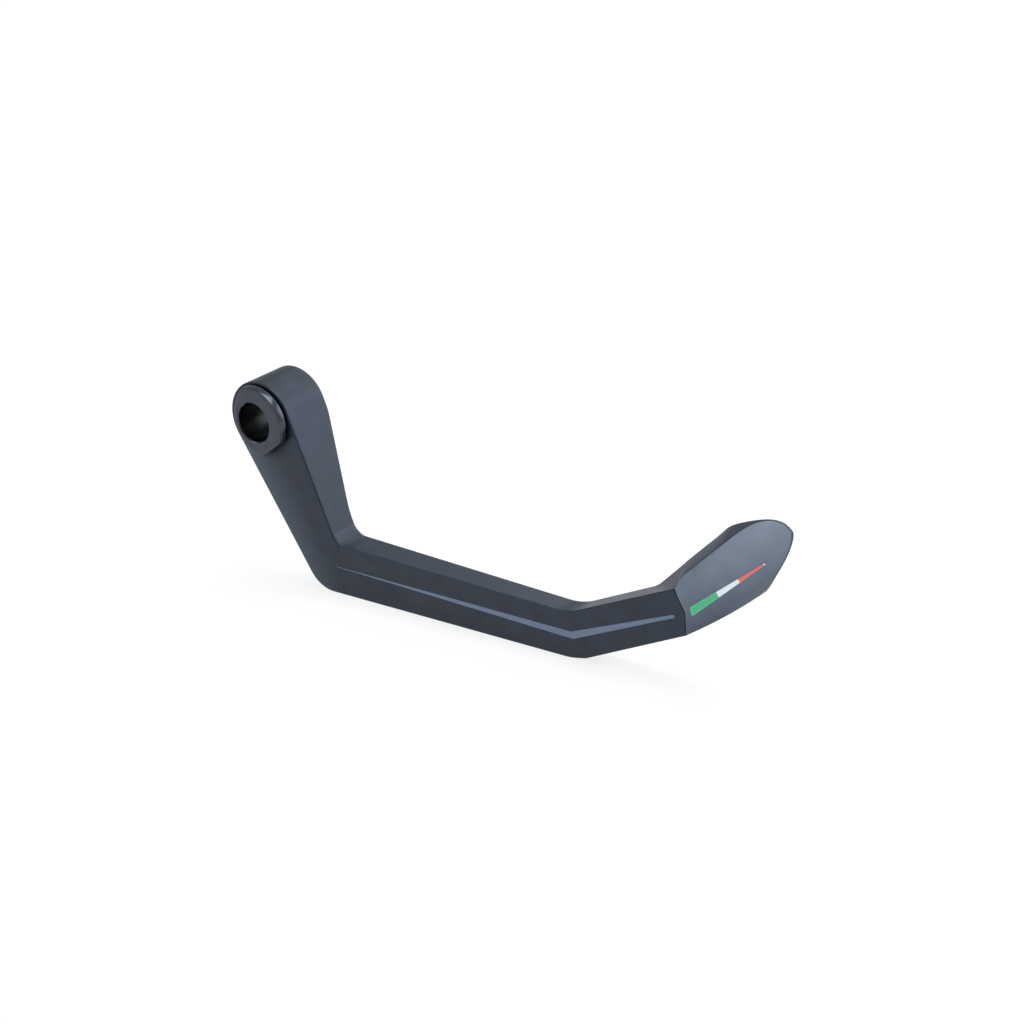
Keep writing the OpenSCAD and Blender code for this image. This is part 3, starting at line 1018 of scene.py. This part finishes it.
@dataclass
class GuardArm:
    """The machined arm: eye, tapering arm, blade and rising end, with its engraved stripe.

    Attributes:
        profile: Sizes of the front outline and of the thickness.
        tongue: The tongue that carries the tip.
        shoulder_len, shoulder_out: How far the tip's leaning flank runs back from the seam and leans out.
        edge, seam_edge: Radii of the broken edges, and of those at the seam.
        edge_steps, wall_steps: Rows of an edge, and of the wall with both of its ends.
        step, back_step: Longest side of the outline, and distance between the back face's points.
        tolerance: How near to a line a point counts as lying on it.
        shoulder_start, shoulder_ease: Depth at which the flank starts, and half width of its foot's bend.
        shoulder_past: How far beyond its end the outline is looked through.
        bore_r, bore_edge, bore_sides: Radius, chamfer and sides of the eye's bore, which holds the bush.
        stripe_w, stripe_end_w, stripe_hair: Widths of the stripe at its bend, rounded end and start.
        stripe_depth, stripe_lean, stripe_step: Depth of its walls, their lean, and their longest side.
        fill_top, fill_gap: Depth at which its filling begins, and the gap round it.
        stripe_start_h, stripe_lead: Height at which it starts, and its place along the blade as a share.
        stripe_bend_h, stripe_back: Height of its bend, and how far that lies behind the blade's.
        stripe_gap: How far its end stays from the seam's kink.
    """

    profile: Profile
    tongue: Tongue
    shoulder_len: float
    shoulder_out: float
    edge: float = 0.4
    edge_steps: int = 5
    wall_steps: int = 14
    seam_edge: float = 0.18
    step: float = 1.5
    back_step: float = 1.5
    tolerance: float = 0.02
    shoulder_start: float = 0.4
    shoulder_ease: float = 0.8
    shoulder_past: float = 3.0
    bore_r: float = 6.78
    bore_edge: float = 0.3
    bore_sides: int = 96
    stripe_w: float = 2.0
    stripe_end_w: float = 0.9
    stripe_depth: float = 0.3
    stripe_lean: float = 0.02
    stripe_step: float = 2.0
    fill_top: float = 0.09
    fill_gap: float = 0.01
    stripe_start_h: float = 7.4
    stripe_lead: float = 0.85
    stripe_bend_h: float = 6.2
    stripe_back: float = 3.7
    stripe_gap: float = 3.8
    stripe_hair: float = 0.24
    finish: Finish = Anodised("anodised arm", srgb(37, 43, 54), srgb(48, 55, 67))
    filling: Finish = Paint("stripe", srgb(104, 119, 140), metallic=0.3, roughness=0.42)

    def stripe(self) -> Array:
        """Outline of the stripe, anticlockwise: a hair line that widens to the bend and narrows again."""
        p = self.profile
        start = p.low_bend + [self.stripe_start_h * self.stripe_lead, self.stripe_start_h]
        bend = np.array([p.low_rise[0] - self.stripe_back, self.stripe_bend_h - p.drop])
        end = p.seam_mid - self.stripe_gap * p.rise_u
        m = direction(90 + p.rise_angle / 2) * self.stripe_w / 2
        a = np.radians(slope(bend, end) - 90 + np.linspace(0, 180, 13))
        tip = end + self.stripe_end_w / 2 * on_circle(a)
        hair = np.array([0.0, self.stripe_hair / 2])
        return np.concatenate([[start - hair, bend - m], tip, [bend + m, start + hair]])

    def _lean(self, loop: Array, y: Array) -> Array:
        """Shift of the wall at a depth, where the tip's leaning flank runs back over the upper side.

        The flank is a plane through the seam's upper corner and its own outer edge. Its foot moves back
        from the seam in proportion to the depth, and it leans out by the same share below that.

        Args:
            loop: Outline in the plane.
            y: Depth at each of its points.

        Returns:
            The shift of each point, along the seam's upper side.
        """
        p = self.profile
        top = direction(p.rise_top)
        behind = (p.seam_high - loop) @ top
        above = np.abs((loop - p.seam_high) @ np.array([-top[1], top[0]])) < self.tolerance
        foot = self.shoulder_start + (p.seam_t - self.shoulder_start) * behind / self.shoulder_len
        rate = self.shoulder_out / (p.seam_t - self.shoulder_start)
        out = rate * soft_ramp(y - foot, self.shoulder_ease)
        out = np.where(above & (behind < self.shoulder_len + self.shoulder_past), out, 0.0)
        return out[:, None] * unit(p.seam_high - p.seam_mid)

    def _wall(self, loop: Array, back: Array) -> Array:
        """Rows of the wall from the front face's edge to the back face's edge.

        Each edge is a quarter circle of radius r: the inset is r (1 - sin f) and the depth r (1 - cos f).

        Args:
            loop: Outline in the plane.
            back: Depth of the back face at each of its points.

        Returns:
            The rows' points.
        """
        p = self.profile
        past = (loop - p.seam_low) @ p.rise_u > -self.tolerance
        radius = np.where(past & np.roll(past, -1), self.seam_edge, self.edge)
        quarter = np.linspace(0, math.pi / 2, self.edge_steps)
        rows = []
        for f in quarter:
            q = inset(loop, radius * (1 - math.sin(f)))
            rows.append(raised(q, self.edge * (1 - math.cos(f))))
        for share in np.linspace(0, 1, self.wall_steps)[1:-1]:
            y = self.edge + (back - 2 * self.edge) * share
            rows.append(raised(loop + self._lean(loop, y), y))
        for f in quarter[::-1]:
            y = back - self.edge * (1 - math.cos(f))
            q = inset(loop + self._lean(loop, y), radius * (1 - math.sin(f)))
            rows.append(raised(q, y))
        return np.array(rows)

    def _bore(self, mesh: MeshBuilder) -> tuple[Array, Array]:
        """Adds the eye's bore, chamfered at both ends.

        Args:
            mesh: The arm's mesh so far.

        Returns:
            Indices of the bore's rings, and its widest ring in the plane.
        """
        circle = on_circle(turns(self.bore_sides))
        wide = self.bore_r + self.bore_edge
        rim = self.profile.thickness(circle * wide)
        r, c = self.bore_r, self.bore_edge
        levels = ((wide, 0.0), (r, c), (r, rim - c), (wide, rim))
        rings = mesh.add(np.array([raised(radius * circle, y) for radius, y in levels]))
        mesh.grid(rings, around=True)
        return rings, circle * wide

    def _engraving(self, mesh: MeshBuilder) -> tuple[Array, Array, Array]:
        """Adds the stripe's walls and floor.

        Args:
            mesh: The arm's mesh so far.

        Returns:
            Indices of the stripe's edge on the front face, the edge in the plane, and the floor's edge.
        """
        stripe = subdivided(self.stripe(), self.stripe_step)
        floor = inset(stripe, self.stripe_lean)
        top = mesh.add(raised(stripe, 0.0))
        low = mesh.add(raised(floor, self.stripe_depth))
        mesh.grid(np.stack([top, low]), around=True)
        mesh.cap([(low, floor)], True)
        return top, stripe, floor

    def build(self) -> list[bpy.types.Object]:
        """Builds the arm, its tongue and the stripe's filling.

        Returns:
            The arm, the tongue and the filling.
        """
        p = self.profile
        mesh = MeshBuilder()
        loop = subdivided(p.outline(), self.step)
        rows = self._wall(loop, p.thickness(loop))
        wall = mesh.add(rows)
        mesh.grid(wall, around=True)
        bore, hole = self._bore(mesh)
        top, stripe, floor = self._engraving(mesh)
        front = [(wall[0], flat(rows[0])), (bore[0], hole), (top, stripe)]
        mesh.cap(front, True, lambda q: raised(q, 0.0))
        back = [(wall[-1], flat(rows[-1])), (bore[-1], hole)]
        mesh.cap(back, False, lambda q: raised(q, p.thickness(q)), self.back_step)
        arm = sharpen(outward(mesh.build("guard_arm_machined")))
        dress(arm, self.finish)
        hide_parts("guard_arm")
        return [arm, self.tongue.build(self.finish, Slot.ARM), self._fill(floor)]

    def _fill(self, floor: Array) -> bpy.types.Object:
        """Thin pale filling on the engraving's floor, a closed slab."""
        depths = (self.fill_top, self.stripe_depth - self.fill_gap)
        piece = column("stripe_filling", [stacked(inset(floor, self.fill_gap), depths)])
        return dress(piece, self.filling)


@dataclass
class EyeBush:
    """The flanged bush: sleeve, chamfered bore and a flange with flats towards the arm.

    Attributes:
        depth, sleeve_r, sleeve_chamfer: Depth, radius and back chamfer of the sleeve.
        bore_r, bore_chamfer: Radius and front chamfer of the bore.
        flange_r, flange_t: Radius and thickness of the flange.
        chamfer, bevel: Chamfer of its rim, and the share of it at which its two parts meet.
        seat, undercut: Gap to the eye's face, and height and depth of the groove that parts them.
        flats: (angle of the outward normal, distance from the axis) of each flat.
        flat_least: Least cosine at which a flat is looked for.
        relief: (centre, radius) of the flange's relieved outer side.
        sides: Count of the points round the axis.
    """

    depth: float = 14.0
    bore_r: float = 5.15
    sleeve_r: float = 6.75
    flange_r: float = 9.45
    flange_t: float = 2.7
    chamfer: float = 0.3
    bevel: float = 0.3
    bore_chamfer: float = 0.35
    sleeve_chamfer: float = 0.4
    seat: float = 0.02
    undercut: float = 0.72
    flats: tuple[tuple[float, float], ...] = ((-10.0, 9.3), (-53.5, 8.3), (-90.0, 8.75))
    flat_least: float = 0.2
    relief: tuple[tuple[float, float], float] = ((4.3, 0.9), 10.8)
    sides: int = 288
    finish: Finish = Turned("turned bush", srgb(58, 61, 70), srgb(66, 69, 78))

    def reach(self, angle: Array) -> Array:
        """Radius of the flange's edge at polar angles in radians: the least of circle, flats and relief."""
        radius = np.full(len(angle), self.flange_r)
        for normal, distance in self.flats:
            cosine = np.cos(angle - math.radians(normal))
            cut_off = np.minimum(radius, distance / np.maximum(cosine, self.flat_least))
            radius = np.where(cosine > self.flat_least, cut_off, radius)
        (cx, cz), r = self.relief
        along = cx * np.cos(angle) + cz * np.sin(angle)
        far = along + np.sqrt(np.maximum(along**2 - cx**2 - cz**2 + r**2, 0.0))
        return np.minimum(radius, far)

    def build(self) -> bpy.types.Object:
        """Builds the bush as one closed grid, from a profile of (radius, depth) that goes once round."""
        a = turns(self.sides)
        edge = self.reach(a)
        c, t, e = self.chamfer, self.flange_t, self.sleeve_chamfer
        mouth = self.bore_r + self.bore_chamfer
        rows = [
            (mouth, -t),
            ((edge - c + mouth) / 2, -t),
            (edge - c, -t),
            (edge - self.bevel * c, -t + self.bevel * c),
            (edge, -t + c),
            (edge, -self.undercut),
            (edge - self.undercut, -self.undercut),
            (edge - self.undercut, -self.seat),
            (self.sleeve_r, -self.seat),
            (self.sleeve_r, self.depth - e),
            (self.sleeve_r - e, self.depth),
            (self.bore_r + e, self.depth),
            (self.bore_r, self.depth - e),
            (self.bore_r, self.bore_chamfer - t),
        ]
        rings = [raised(np.broadcast_to(r, self.sides)[:, None] * on_circle(a), y) for r, y in rows]
        mesh = MeshBuilder()
        mesh.grid(mesh.add(np.array(rings)), around=True, along=True)
        bush = sharpen(outward(mesh.build("eye_bush_turned")), 30.0)
        dress(bush, self.finish)
        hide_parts("eye_bush")
        return bush


@dataclass
class GuardTip:
    """The moulded leaf-shaped tip on its own axis from the kink of the seam.

    The coordinates are a along the axis, b across it and y into the depth, as in the part's source.

    Attributes:
        length, angle: Length and direction of the axis.
        upper_w, upper_at, upper_p: Half width above the axis, its place, and the power of its closing.
        lower_w, lower_at, lower_p: The same below the axis.
        root_w, root_back, root_p: Half width below it at the seam, where that starts, and its power.
        step_from, step_len: Stretch over which the upper side leaves the arm's line.
        fall_from: Place from which both faces close on the nose.
        lean_from, lean_to: Places between which the upper flank straightens.
        rim_from, rim_to: Places between which the back's edge comes near the front.
        crown, crown_p, rear_crown: Fall of the face towards its edges, its power, and the back's share.
        crown_from, crown_len: Where it starts before the kink, and the length over which it grows.
        flare, flank_bow: How far the upper flank leans out, and how much it bows.
        nose_t, nose_y: Thickness of the nose and of the rim beside it, and the depth of its middle.
        gap: Gap at the seam and round the tongue.
        edge, edge_share: Half length of the corners' rounding, and its most as a share of the depth.
        edge_spots: Points in the mean that rounds them.
        seam_edge, seam_steps, seam_passes: Edge at the seam, its rows, and the passes that place it.
        line_share: Share of the flanks' depth that the thin painted shadow line beside the face takes.
        head_r, head_top: Radius of the countersinks, and the depth at which it is reached.
        head_past: How far the holes' cutters reach out of the back.
        hole_sides, rings, face_cols, flank_cols: Counts of points.
    """

    profile: Profile
    tongue: Tongue
    length: float = 38.4
    angle: float = 41.6
    upper_w: float = 7.3
    upper_at: float = 23.6
    upper_p: float = 2.5
    lower_w: float = 6.8
    lower_at: float = 19.7
    lower_p: float = 1.5
    root_w: float = 4.1
    root_back: float = 4.0
    root_p: float = 1.6
    step_from: float = 1.0
    step_len: float = 5.0
    fall_from: float = 8.0
    lean_from: float = 20.8
    lean_to: float = 37.2
    rim_from: float = 14.0
    rim_to: float = 31.0
    crown: float = 1.0
    crown_len: float = 12.0
    crown_from: float = 1.0
    crown_p: float = 2.6
    rear_crown: float = 0.5
    flare: float = 2.7
    flank_bow: float = 0.35
    nose_t: float = 1.0
    nose_y: float = 2.6
    gap: float = 0.15
    edge: float = 0.36
    edge_share: float = 0.2
    edge_spots: int = 9
    seam_edge: float = 0.1
    seam_steps: int = 4
    seam_passes: int = 5
    line_share: float = 0.1
    head_r: float = 2.85
    head_top: float = 7.35
    head_past: float = 1.0
    hole_sides: int = 48
    rings: int = 120
    face_cols: int = 49
    flank_cols: int = 17
    # The face's colours paint its shade and light; the last colour paints a thin shadow line beside the
    # face.
    finish: Finish = Moulded(
        "moulded tip",
        (srgb(72, 80, 92), srgb(104, 111, 124)),
        (srgb(106, 116, 129), srgb(134, 144, 158)),
        srgb(56, 62, 74),
        srgb(30, 34, 42),
    )

    def __post_init__(self) -> None:
        """Works out the axis and the columns of the section's grid."""
        p = self.profile
        self.u = direction(self.angle)
        self.n = direction(self.angle + 90)
        self.step_w = self.upper_w - float((p.seam_high - p.seam_mid) @ self.n)
        face = np.sin(np.linspace(-1, 1, self.face_cols) * math.pi / 2)
        flank = (1 - np.cos(np.linspace(0, math.pi, self.flank_cols)))[1:-1] / 2
        self.columns = [("front", face), ("upper", flank), ("rear", face[::-1]), ("lower", flank)]

    def shoulder_reach(self) -> tuple[float, float]:
        """How far the leaning flank's plane runs back from the seam, and how far it leans out there."""
        p = self.profile
        lean = self.upper_w + self.flare
        back = meet(p.seam_mid + lean * self.n, self.angle, p.seam_high, p.rise_top)
        side = p.seam_high - p.seam_mid
        out = np.linalg.norm(side) * (lean / float(side @ self.n) - 1)
        return float(np.linalg.norm(back - p.seam_high)), float(out)

    def closing(self, a: Array, full_at: float, power: float) -> Array:
        """Share of the full width beyond the widest place: (1 - t^p)^(1/p)."""
        t = np.clip((a - full_at) / (self.length - full_at), 0.0, 1.0)
        return np.power(np.maximum(1.0 - t**power, 0.0), 1.0 / power)

    def upper(self, a: Array) -> Array:
        """Half width above the axis, a little less just beyond the seam."""
        step = self.step_w * (1 - ease((a - self.step_from) / self.step_len))
        return self.upper_w * self.closing(a, self.upper_at, self.upper_p) - step

    def lower(self, a: Array) -> Array:
        """Half width below the axis, which grows from the root by a power of the distance left."""
        t = np.clip((self.lower_at - a) / (self.lower_at + self.root_back), 0.0, 1.0)
        full = self.lower_w * self.closing(a, self.lower_at, self.lower_p)
        return full - (self.lower_w - self.root_w) * t**self.root_p

    def shoulder(self, a: Array) -> Array:
        """Half width of the back face above the axis, at the outer edge of the leaning flank."""
        lean = self.flare * ease((self.lean_to - a) / (self.lean_to - self.lean_from))
        return self.upper_w * self.closing(a, self.upper_at, self.upper_p) + lean

    def nose_share(self, a: Array) -> Array:
        """Share by which both faces have closed on the nose."""
        return np.maximum(0.0, (a - self.fall_from) / (self.length - self.fall_from)) ** 2

    def front(self, a: Array, s: Array | float) -> Array:
        """Depth of the front face at a and at the share s of the half width."""
        t = self.nose_share(a)
        crown = self.crown * np.clip((a + self.crown_from) / self.crown_len, 0.0, 1.0) * (1 - t)
        return (self.nose_y - self.nose_t / 2) * t + crown * np.abs(s) ** self.crown_p

    def rear(self, a: Array, s: Array | float) -> Array:
        """Depth of the back face at a and s.

        It falls by the square of s, from the spine to a rim that comes within the nose's thickness of
        the front face towards the nose.
        """
        t = self.nose_share(a)
        spine = self.profile.seam_t - (self.profile.seam_t - self.nose_y - self.nose_t / 2) * t
        crown = self.rear_crown * self.crown * ease((a + self.crown_from) / self.crown_len) * (1 - t)
        full = spine - crown
        near = ease((a - self.rim_from) / (self.rim_to - self.rim_from))
        rim = full * (1 - near) + (self.front(a, 1.0) + self.nose_t) * near
        return spine - (spine - rim) * s * s

    def section(self, a: Array) -> tuple[Array, Array]:
        """Raw section (b, y), with a column of stations a for each of its points."""
        b, y = [], []
        start = 0
        for kind, values in self.columns:
            x = a[:, start : start + len(values)]
            start += len(values)
            v = values[None]
            if kind == "front":
                b.append(np.where(v < 0, v * self.lower(x), v * self.upper(x)))
                y.append(self.front(x, v))
            elif kind == "upper":
                share = v + self.flank_bow * v * (1 - v)
                b.append(self.upper(x) + (self.shoulder(x) - self.upper(x)) * share)
                y.append(self.front(x, 1.0) + (self.rear(x, 1.0) - self.front(x, 1.0)) * v)
            elif kind == "rear":
                b.append(np.where(v < 0, v * self.lower(x), v * self.shoulder(x)))
                y.append(self.rear(x, v))
            else:
                b.append(-self.lower(x))
                y.append(self.rear(x, -1.0) + (self.front(x, -1.0) - self.rear(x, -1.0)) * v)
        return np.concatenate(b, axis=1), np.concatenate(y, axis=1)

    def softened(self, a: Array) -> tuple[Array, Array]:
        """Section whose corners are rounded by a running mean along its length."""
        b, y = self.section(a)
        for i in range(len(b)):
            ring = np.c_[b[i], y[i]]
            step = np.linalg.norm(np.roll(ring, -1, axis=0) - ring, axis=1)
            at = np.concatenate([[0.0], np.cumsum(step)[:-1]])
            reach = min(self.edge, self.edge_share * np.ptp(y[i]))
            spots = at[:, None] + np.linspace(-reach, reach, self.edge_spots)[None]
            for rows, values in zip((b, y), ring.T):
                rows[i] = np.interp(spots, at, values, period=step.sum()).mean(axis=1)
        return b, y

    def seam_a(self, b: Array) -> Array:
        """Place of the seam along the axis at the height b, straight between and beyond its corners."""
        p = self.profile
        corners = np.array([q - p.seam_mid for q in (p.seam_low, p.seam_mid, p.seam_high)])
        at, reach = corners @ self.u, corners @ self.n
        lower, upper = (at[1] + (b - reach[1]) * (at[k] - at[1]) / (reach[k] - reach[1]) for k in (0, 2))
        return np.where(b > reach[1], upper, lower) + self.gap

    def place(self, a: Array, b: Array, y: Array) -> Array:
        """Points in space of (a, b, y)."""
        plane = self.profile.seam_mid + a[..., None] * self.u + b[..., None] * self.n
        return np.stack([plane[..., 0], y, plane[..., 1]], axis=-1)

    def build(self) -> bpy.types.Object:
        """Builds the tip as a loft whose first rings follow the seam, and cuts its pocket and holes."""
        share = np.sin(np.arange(self.rings) / self.rings * math.pi / 2)
        count = sum(len(v) for _, v in self.columns)
        start = np.zeros(count)
        for _ in range(self.seam_passes):
            a = start + (self.length - start) * share[:, None]
            b, y = self.softened(a)
            start = self.seam_a(b[0]) + self.seam_edge
        rows = []
        for f in np.linspace(0, math.pi / 2, self.seam_steps)[:-1]:
            q = shrunk(np.c_[b[0], y[0]], self.seam_edge * (1 - math.sin(f)))
            at = self.seam_a(q[:, 0]) + self.seam_edge * (1 - math.cos(f))
            rows.append(self.place(at, q[:, 0], q[:, 1]))
        mesh = MeshBuilder()
        index = mesh.add(np.concatenate([np.array(rows), self.place(a, b, y)]))
        mesh.grid(index, around=True)
        mesh.cap([(index[0], shrunk(np.c_[b[0], y[0]], self.seam_edge))], True)
        mesh.cap([(index[-1], np.c_[b[-1], y[-1]])], False)
        tip = outward(mesh.build("guard_tip_moulded", masks=self._masks(len(index))))
        pocket = self.tongue.slab("pocket", self.gap, [])
        cut(tip, [pocket, *(self._hole(centre) for centre in self.tongue.screws)])
        dress(sharpen(tip, 38.0), self.finish)
        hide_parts("guard_tip")
        return tip

    def _masks(self, rings: int) -> dict[str, Array]:
        """Masks of the face and of the thin painted shadow line on the flanks beside it, for every ring's
        points.
        """
        face, line = [], []
        for kind, v in self.columns:
            behind = {"upper": v, "lower": 1 - v}.get(kind, np.ones(len(v)))
            face.append(np.full(len(v), float(kind == "front")))
            line.append(1 - ease(behind / self.line_share))
        return {"face": np.tile(np.concatenate(face), rings), "line": np.tile(np.concatenate(line), rings)}

    def _hole(self, centre: Array) -> bpy.types.Object:
        """Cutter of one countersunk hole, from inside the pocket out through the back."""
        narrow, middle = self.tongue.hole_r, self.profile.seam_t / 2
        levels = (
            (narrow, middle),
            (narrow, self.head_top - (self.head_r - narrow)),
            (self.head_r, self.head_top),
            (self.head_r, self.profile.seam_t + self.head_past),
        )
        circle = on_circle(turns(self.hole_sides))
        return column("screw_hole", [np.array([raised(centre + r * circle, y) for r, y in levels])], True)


@dataclass(frozen=True)
class StripePatch:
    """One colour of the tip's stripe.

    Attributes:
        name: Name of its piece.
        colour: Its colour.
        span: Shares of the stripe's length where it starts and ends.
        margin: How far its long sides stay inside the stripe's sides, in millimetres.
        proud: How far it stands proud of the face, in millimetres.
    """

    name: str
    colour: Colour
    span: tuple[float, float]
    margin: float
    proud: float


@dataclass
class TipStripe:
    """The tapered stripe on the tip's face: thin patches of paint that follow the face.

    Attributes:
        start, end: (a, b) of the middle of its wide end, and of its point.
        width, point_w: Widths there.
        slant: How far the wide end's upper corner stands ahead of its middle.
        slant_share: Share of the length over which that slant fades out.
        sunk: How far the patches reach under the face.
        rows, cols: Points along and across each patch.
    """

    tip: GuardTip
    start: tuple[float, float] = (1.96, -0.5)
    end: tuple[float, float] = (28.0, -2.0)
    width: float = 1.98
    point_w: float = 0.4
    slant: float = 0.45
    slant_share: float = 0.1
    sunk: float = 0.03
    rows: int = 40
    cols: int = 7
    patches: tuple[StripePatch, ...] = (
        StripePatch("stripe_white", srgb(236, 242, 244), (0.0, 1.0), 0.0, 0.02),
        StripePatch("stripe_green", srgb(104, 204, 152), (0.0, 0.375), 0.0, 0.035),
        StripePatch("stripe_green_core", srgb(66, 184, 126), (0.012, 0.37), 0.13, 0.05),
        StripePatch("stripe_red", srgb(238, 112, 100), (0.665, 0.985), 0.0, 0.035),
    )

    def _patch(self, patch: StripePatch) -> bpy.types.Object:
        """Builds one patch as a thin closed slab on the face."""
        axis = np.array(self.end) - np.array(self.start)
        along = axis / np.linalg.norm(axis)
        across = np.array([-along[1], along[0]])
        t = np.linspace(*patch.span, self.rows)[:, None]
        v = np.linspace(-1, 1, self.cols)
        half = (self.width + (self.point_w - self.width) * t) / 2 - patch.margin
        lead = self.slant * np.clip(1 - t / self.slant_share, 0, 1) * v
        spot = (np.array(self.start) + t[..., None] * axis
                + (half * v)[..., None] * across + lead[..., None] * along)
        a, b = spot[..., 0], spot[..., 1]
        y = self.tip.front(a, b / np.where(b < 0, self.tip.lower(a), self.tip.upper(a)))
        mesh = MeshBuilder()
        outer, inner = (mesh.add(self.tip.place(a, b, y + depth)) for depth in (-patch.proud, self.sunk))
        mesh.grid(outer)
        mesh.grid(inner[::-1])
        for side in ((0, slice(None)), (-1, slice(None)), (slice(None), 0), (slice(None), -1)):
            mesh.grid(np.stack([outer[side], inner[side]]))
        piece = sharpen(outward(mesh.build(patch.name)))
        return dress(piece, Paint(patch.name, patch.colour))

    def build(self) -> list[bpy.types.Object]:
        """Builds the patches in order."""
        return [self._patch(patch) for patch in self.patches]


@dataclass(frozen=True)
class TipScrews:
    """The two countersunk screws in the tip's back, which keep the solids' own shape."""

    finish: Finish = Steel()

    def build(self) -> bpy.types.Object:
        """Gives the screws their finish."""
        return coat(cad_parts["tip_screws"], self.finish)


@dataclass(frozen=True)
class CameraRig:
    """The photograph's viewpoint.

    Attributes:
        place: Its place, in millimetres.
        forward, upward: The way it looks, and its upper side.
        lens, sensor: Focal length and width of the sensor, in millimetres.
        nearest: Distance from which it sees, in metres.
    """

    place: tuple[float, float, float] = (505.64, -501.55, 266.33)
    forward: tuple[float, float, float] = (-0.59638, 0.70398, -0.38568)
    upward: tuple[float, float, float] = (-0.1923, 0.34118, 0.92012)
    lens: float = 105.47
    sensor: float = 36.0
    nearest: float = 0.01

    def build(self) -> bpy.types.Object:
        """Makes the camera and sets it as the scene's."""
        data = bpy.data.cameras.new("camera")
        data.lens = self.lens
        data.sensor_width = self.sensor
        data.clip_start = self.nearest
        camera = linked("camera", data)
        forward = Vector(self.forward).normalized()
        right = forward.cross(Vector(self.upward)).normalized()
        upward = right.cross(forward)
        turn = Matrix((right, upward, -forward)).transposed()
        camera.matrix_world = Matrix.Translation(Vector(self.place) * MM) @ turn.to_4x4()
        bpy.context.scene.camera = camera
        return camera


@dataclass(frozen=True)
class Lamp:
    """Rectangular area lamp that looks at the middle of the object.

    Attributes:
        name: Its name.
        place, width, height: Its middle and its two sides, in metres.
        power: Its power, in watts.
    """

    name: str
    place: tuple[float, float, float]
    power: float
    width: float
    height: float

    def build(self, target: Vector, tint: Colour) -> None:
        """Makes the lamp, turned to the target."""
        data = bpy.data.lights.new(self.name, "AREA")
        data.color = tint
        data.shape = "RECTANGLE"
        data.energy = self.power
        data.size = self.width
        data.size_y = self.height
        lamp = linked(self.name, data)
        lamp.visible_camera = False
        at = Vector(self.place)
        turn = (at - target).to_track_quat("Z", "Y").to_matrix().to_4x4()
        lamp.matrix_world = Matrix.Translation(at) @ turn


@dataclass(frozen=True)
class Studio:
    """Plain white floor and soft light.

    Attributes:
        floor_size, floor_white: Side of the floor, in metres, and its brightness.
        floor_glow: Share of plain white in what is seen of the floor, so that it keeps a faint shadow.
        world_strength: Strength of the world's light.
        tint: Slightly cool colour of the world's light and of the lamps.
        lamps: The lamps.
    """

    floor_size: float = 6.0
    floor_glow: float = 0.8
    floor_white: float = 0.9
    world_strength: float = 0.4
    tint: Colour = (0.9, 0.955, 1.0)
    lamps: tuple[Lamp, ...] = (
        Lamp("top", (0.4, 0.3, 1.4), 19.0, 1.0, 1.0),
        Lamp("back", (0.35, 1.25, 0.5), 26.0, 2.6, 0.9),
        Lamp("front_left", (-0.9, -1.0, 0.9), 8.0, 1.1, 0.9),
    )

    def build(self) -> None:
        """Makes the floor, the world and the lamps."""
        bpy.context.scene.view_settings.view_transform = "Standard"
        self._floor()
        self._world()
        low, high = CAD_BOX
        for lamp in self.lamps:
            lamp.build((Vector(low) + Vector(high)) / 2, self.tint)

    def _floor(self) -> None:
        """White floor under the blade that keeps a faint soft shadow."""
        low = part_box("guard_arm")[0][2]
        h = self.floor_size / 2
        mesh = bpy.data.meshes.new("floor")
        mesh.from_pydata([(-h, -h, low), (h, -h, low), (h, h, low), (-h, h, low)], [], [(0, 1, 2, 3)])
        floor = linked("floor", mesh)
        s = Shader("floor")
        diffuse = s.node("ShaderNodeBsdfDiffuse", {}, {"Color": (*(self.floor_white,) * 3, 1.0)})
        glow = s.node("ShaderNodeEmission", {}, {"Strength": 1.0})
        seen = s.node("ShaderNodeLightPath", {}, {}, "Is Camera Ray")
        for ray in ("Is Glossy Ray", "Is Transmission Ray"):
            seen = seen + s.node("ShaderNodeLightPath", {}, {}, ray)
        share = seen.clamp(0.0, 1.0) * self.floor_glow
        mixed = s.node("ShaderNodeMixShader", {}, {0: share, 1: diffuse, 2: glow})
        s.tree.nodes.remove(s.surface)
        s.tree.links.new(mixed.output, s.out.inputs[0])
        mesh.materials.append(s.material)

    def _world(self) -> None:
        """Even white world, brighter where the camera sees it directly."""
        world = bpy.data.worlds.new("world")
        world.use_nodes = True
        tree = world.node_tree
        lit = tree.nodes["Background"]
        lit.inputs["Color"].default_value = (*self.tint, 1.0)
        lit.inputs["Strength"].default_value = self.world_strength
        plain = tree.nodes.new("ShaderNodeBackground")
        plain.inputs["Color"].default_value = (1.0, 1.0, 1.0, 1.0)
        path = tree.nodes.new("ShaderNodeLightPath")
        mixed = tree.nodes.new("ShaderNodeMixShader")
        tree.links.new(path.outputs["Is Camera Ray"], mixed.inputs[0])
        tree.links.new(lit.outputs[0], mixed.inputs[1])
        tree.links.new(plain.outputs[0], mixed.inputs[2])
        tree.links.new(mixed.outputs[0], tree.nodes["World Output"].inputs[0])
        bpy.context.scene.world = world


def report(pieces: Iterable[bpy.types.Object]) -> None:
    """Logs each piece with its count of faces."""
    for piece in pieces:
        LOG.info("%s: %d faces", piece.name, len(piece.data.polygons))


def main() -> None:
    """Builds the camera, the studio and every piece in order."""
    logging.basicConfig(level=logging.INFO, format="%(name)s: %(message)s")
    CameraRig().build()
    Studio().build()
    profile = Profile()
    tongue = Tongue(profile)
    tip = GuardTip(profile, tongue)
    report(GuardArm(profile, tongue, *tip.shoulder_reach()).build())
    report([EyeBush().build()])
    report([tip.build()])
    report(TipStripe(tip).build())
    report([TipScrews().build()])


if __name__ == "__main__":
    main()
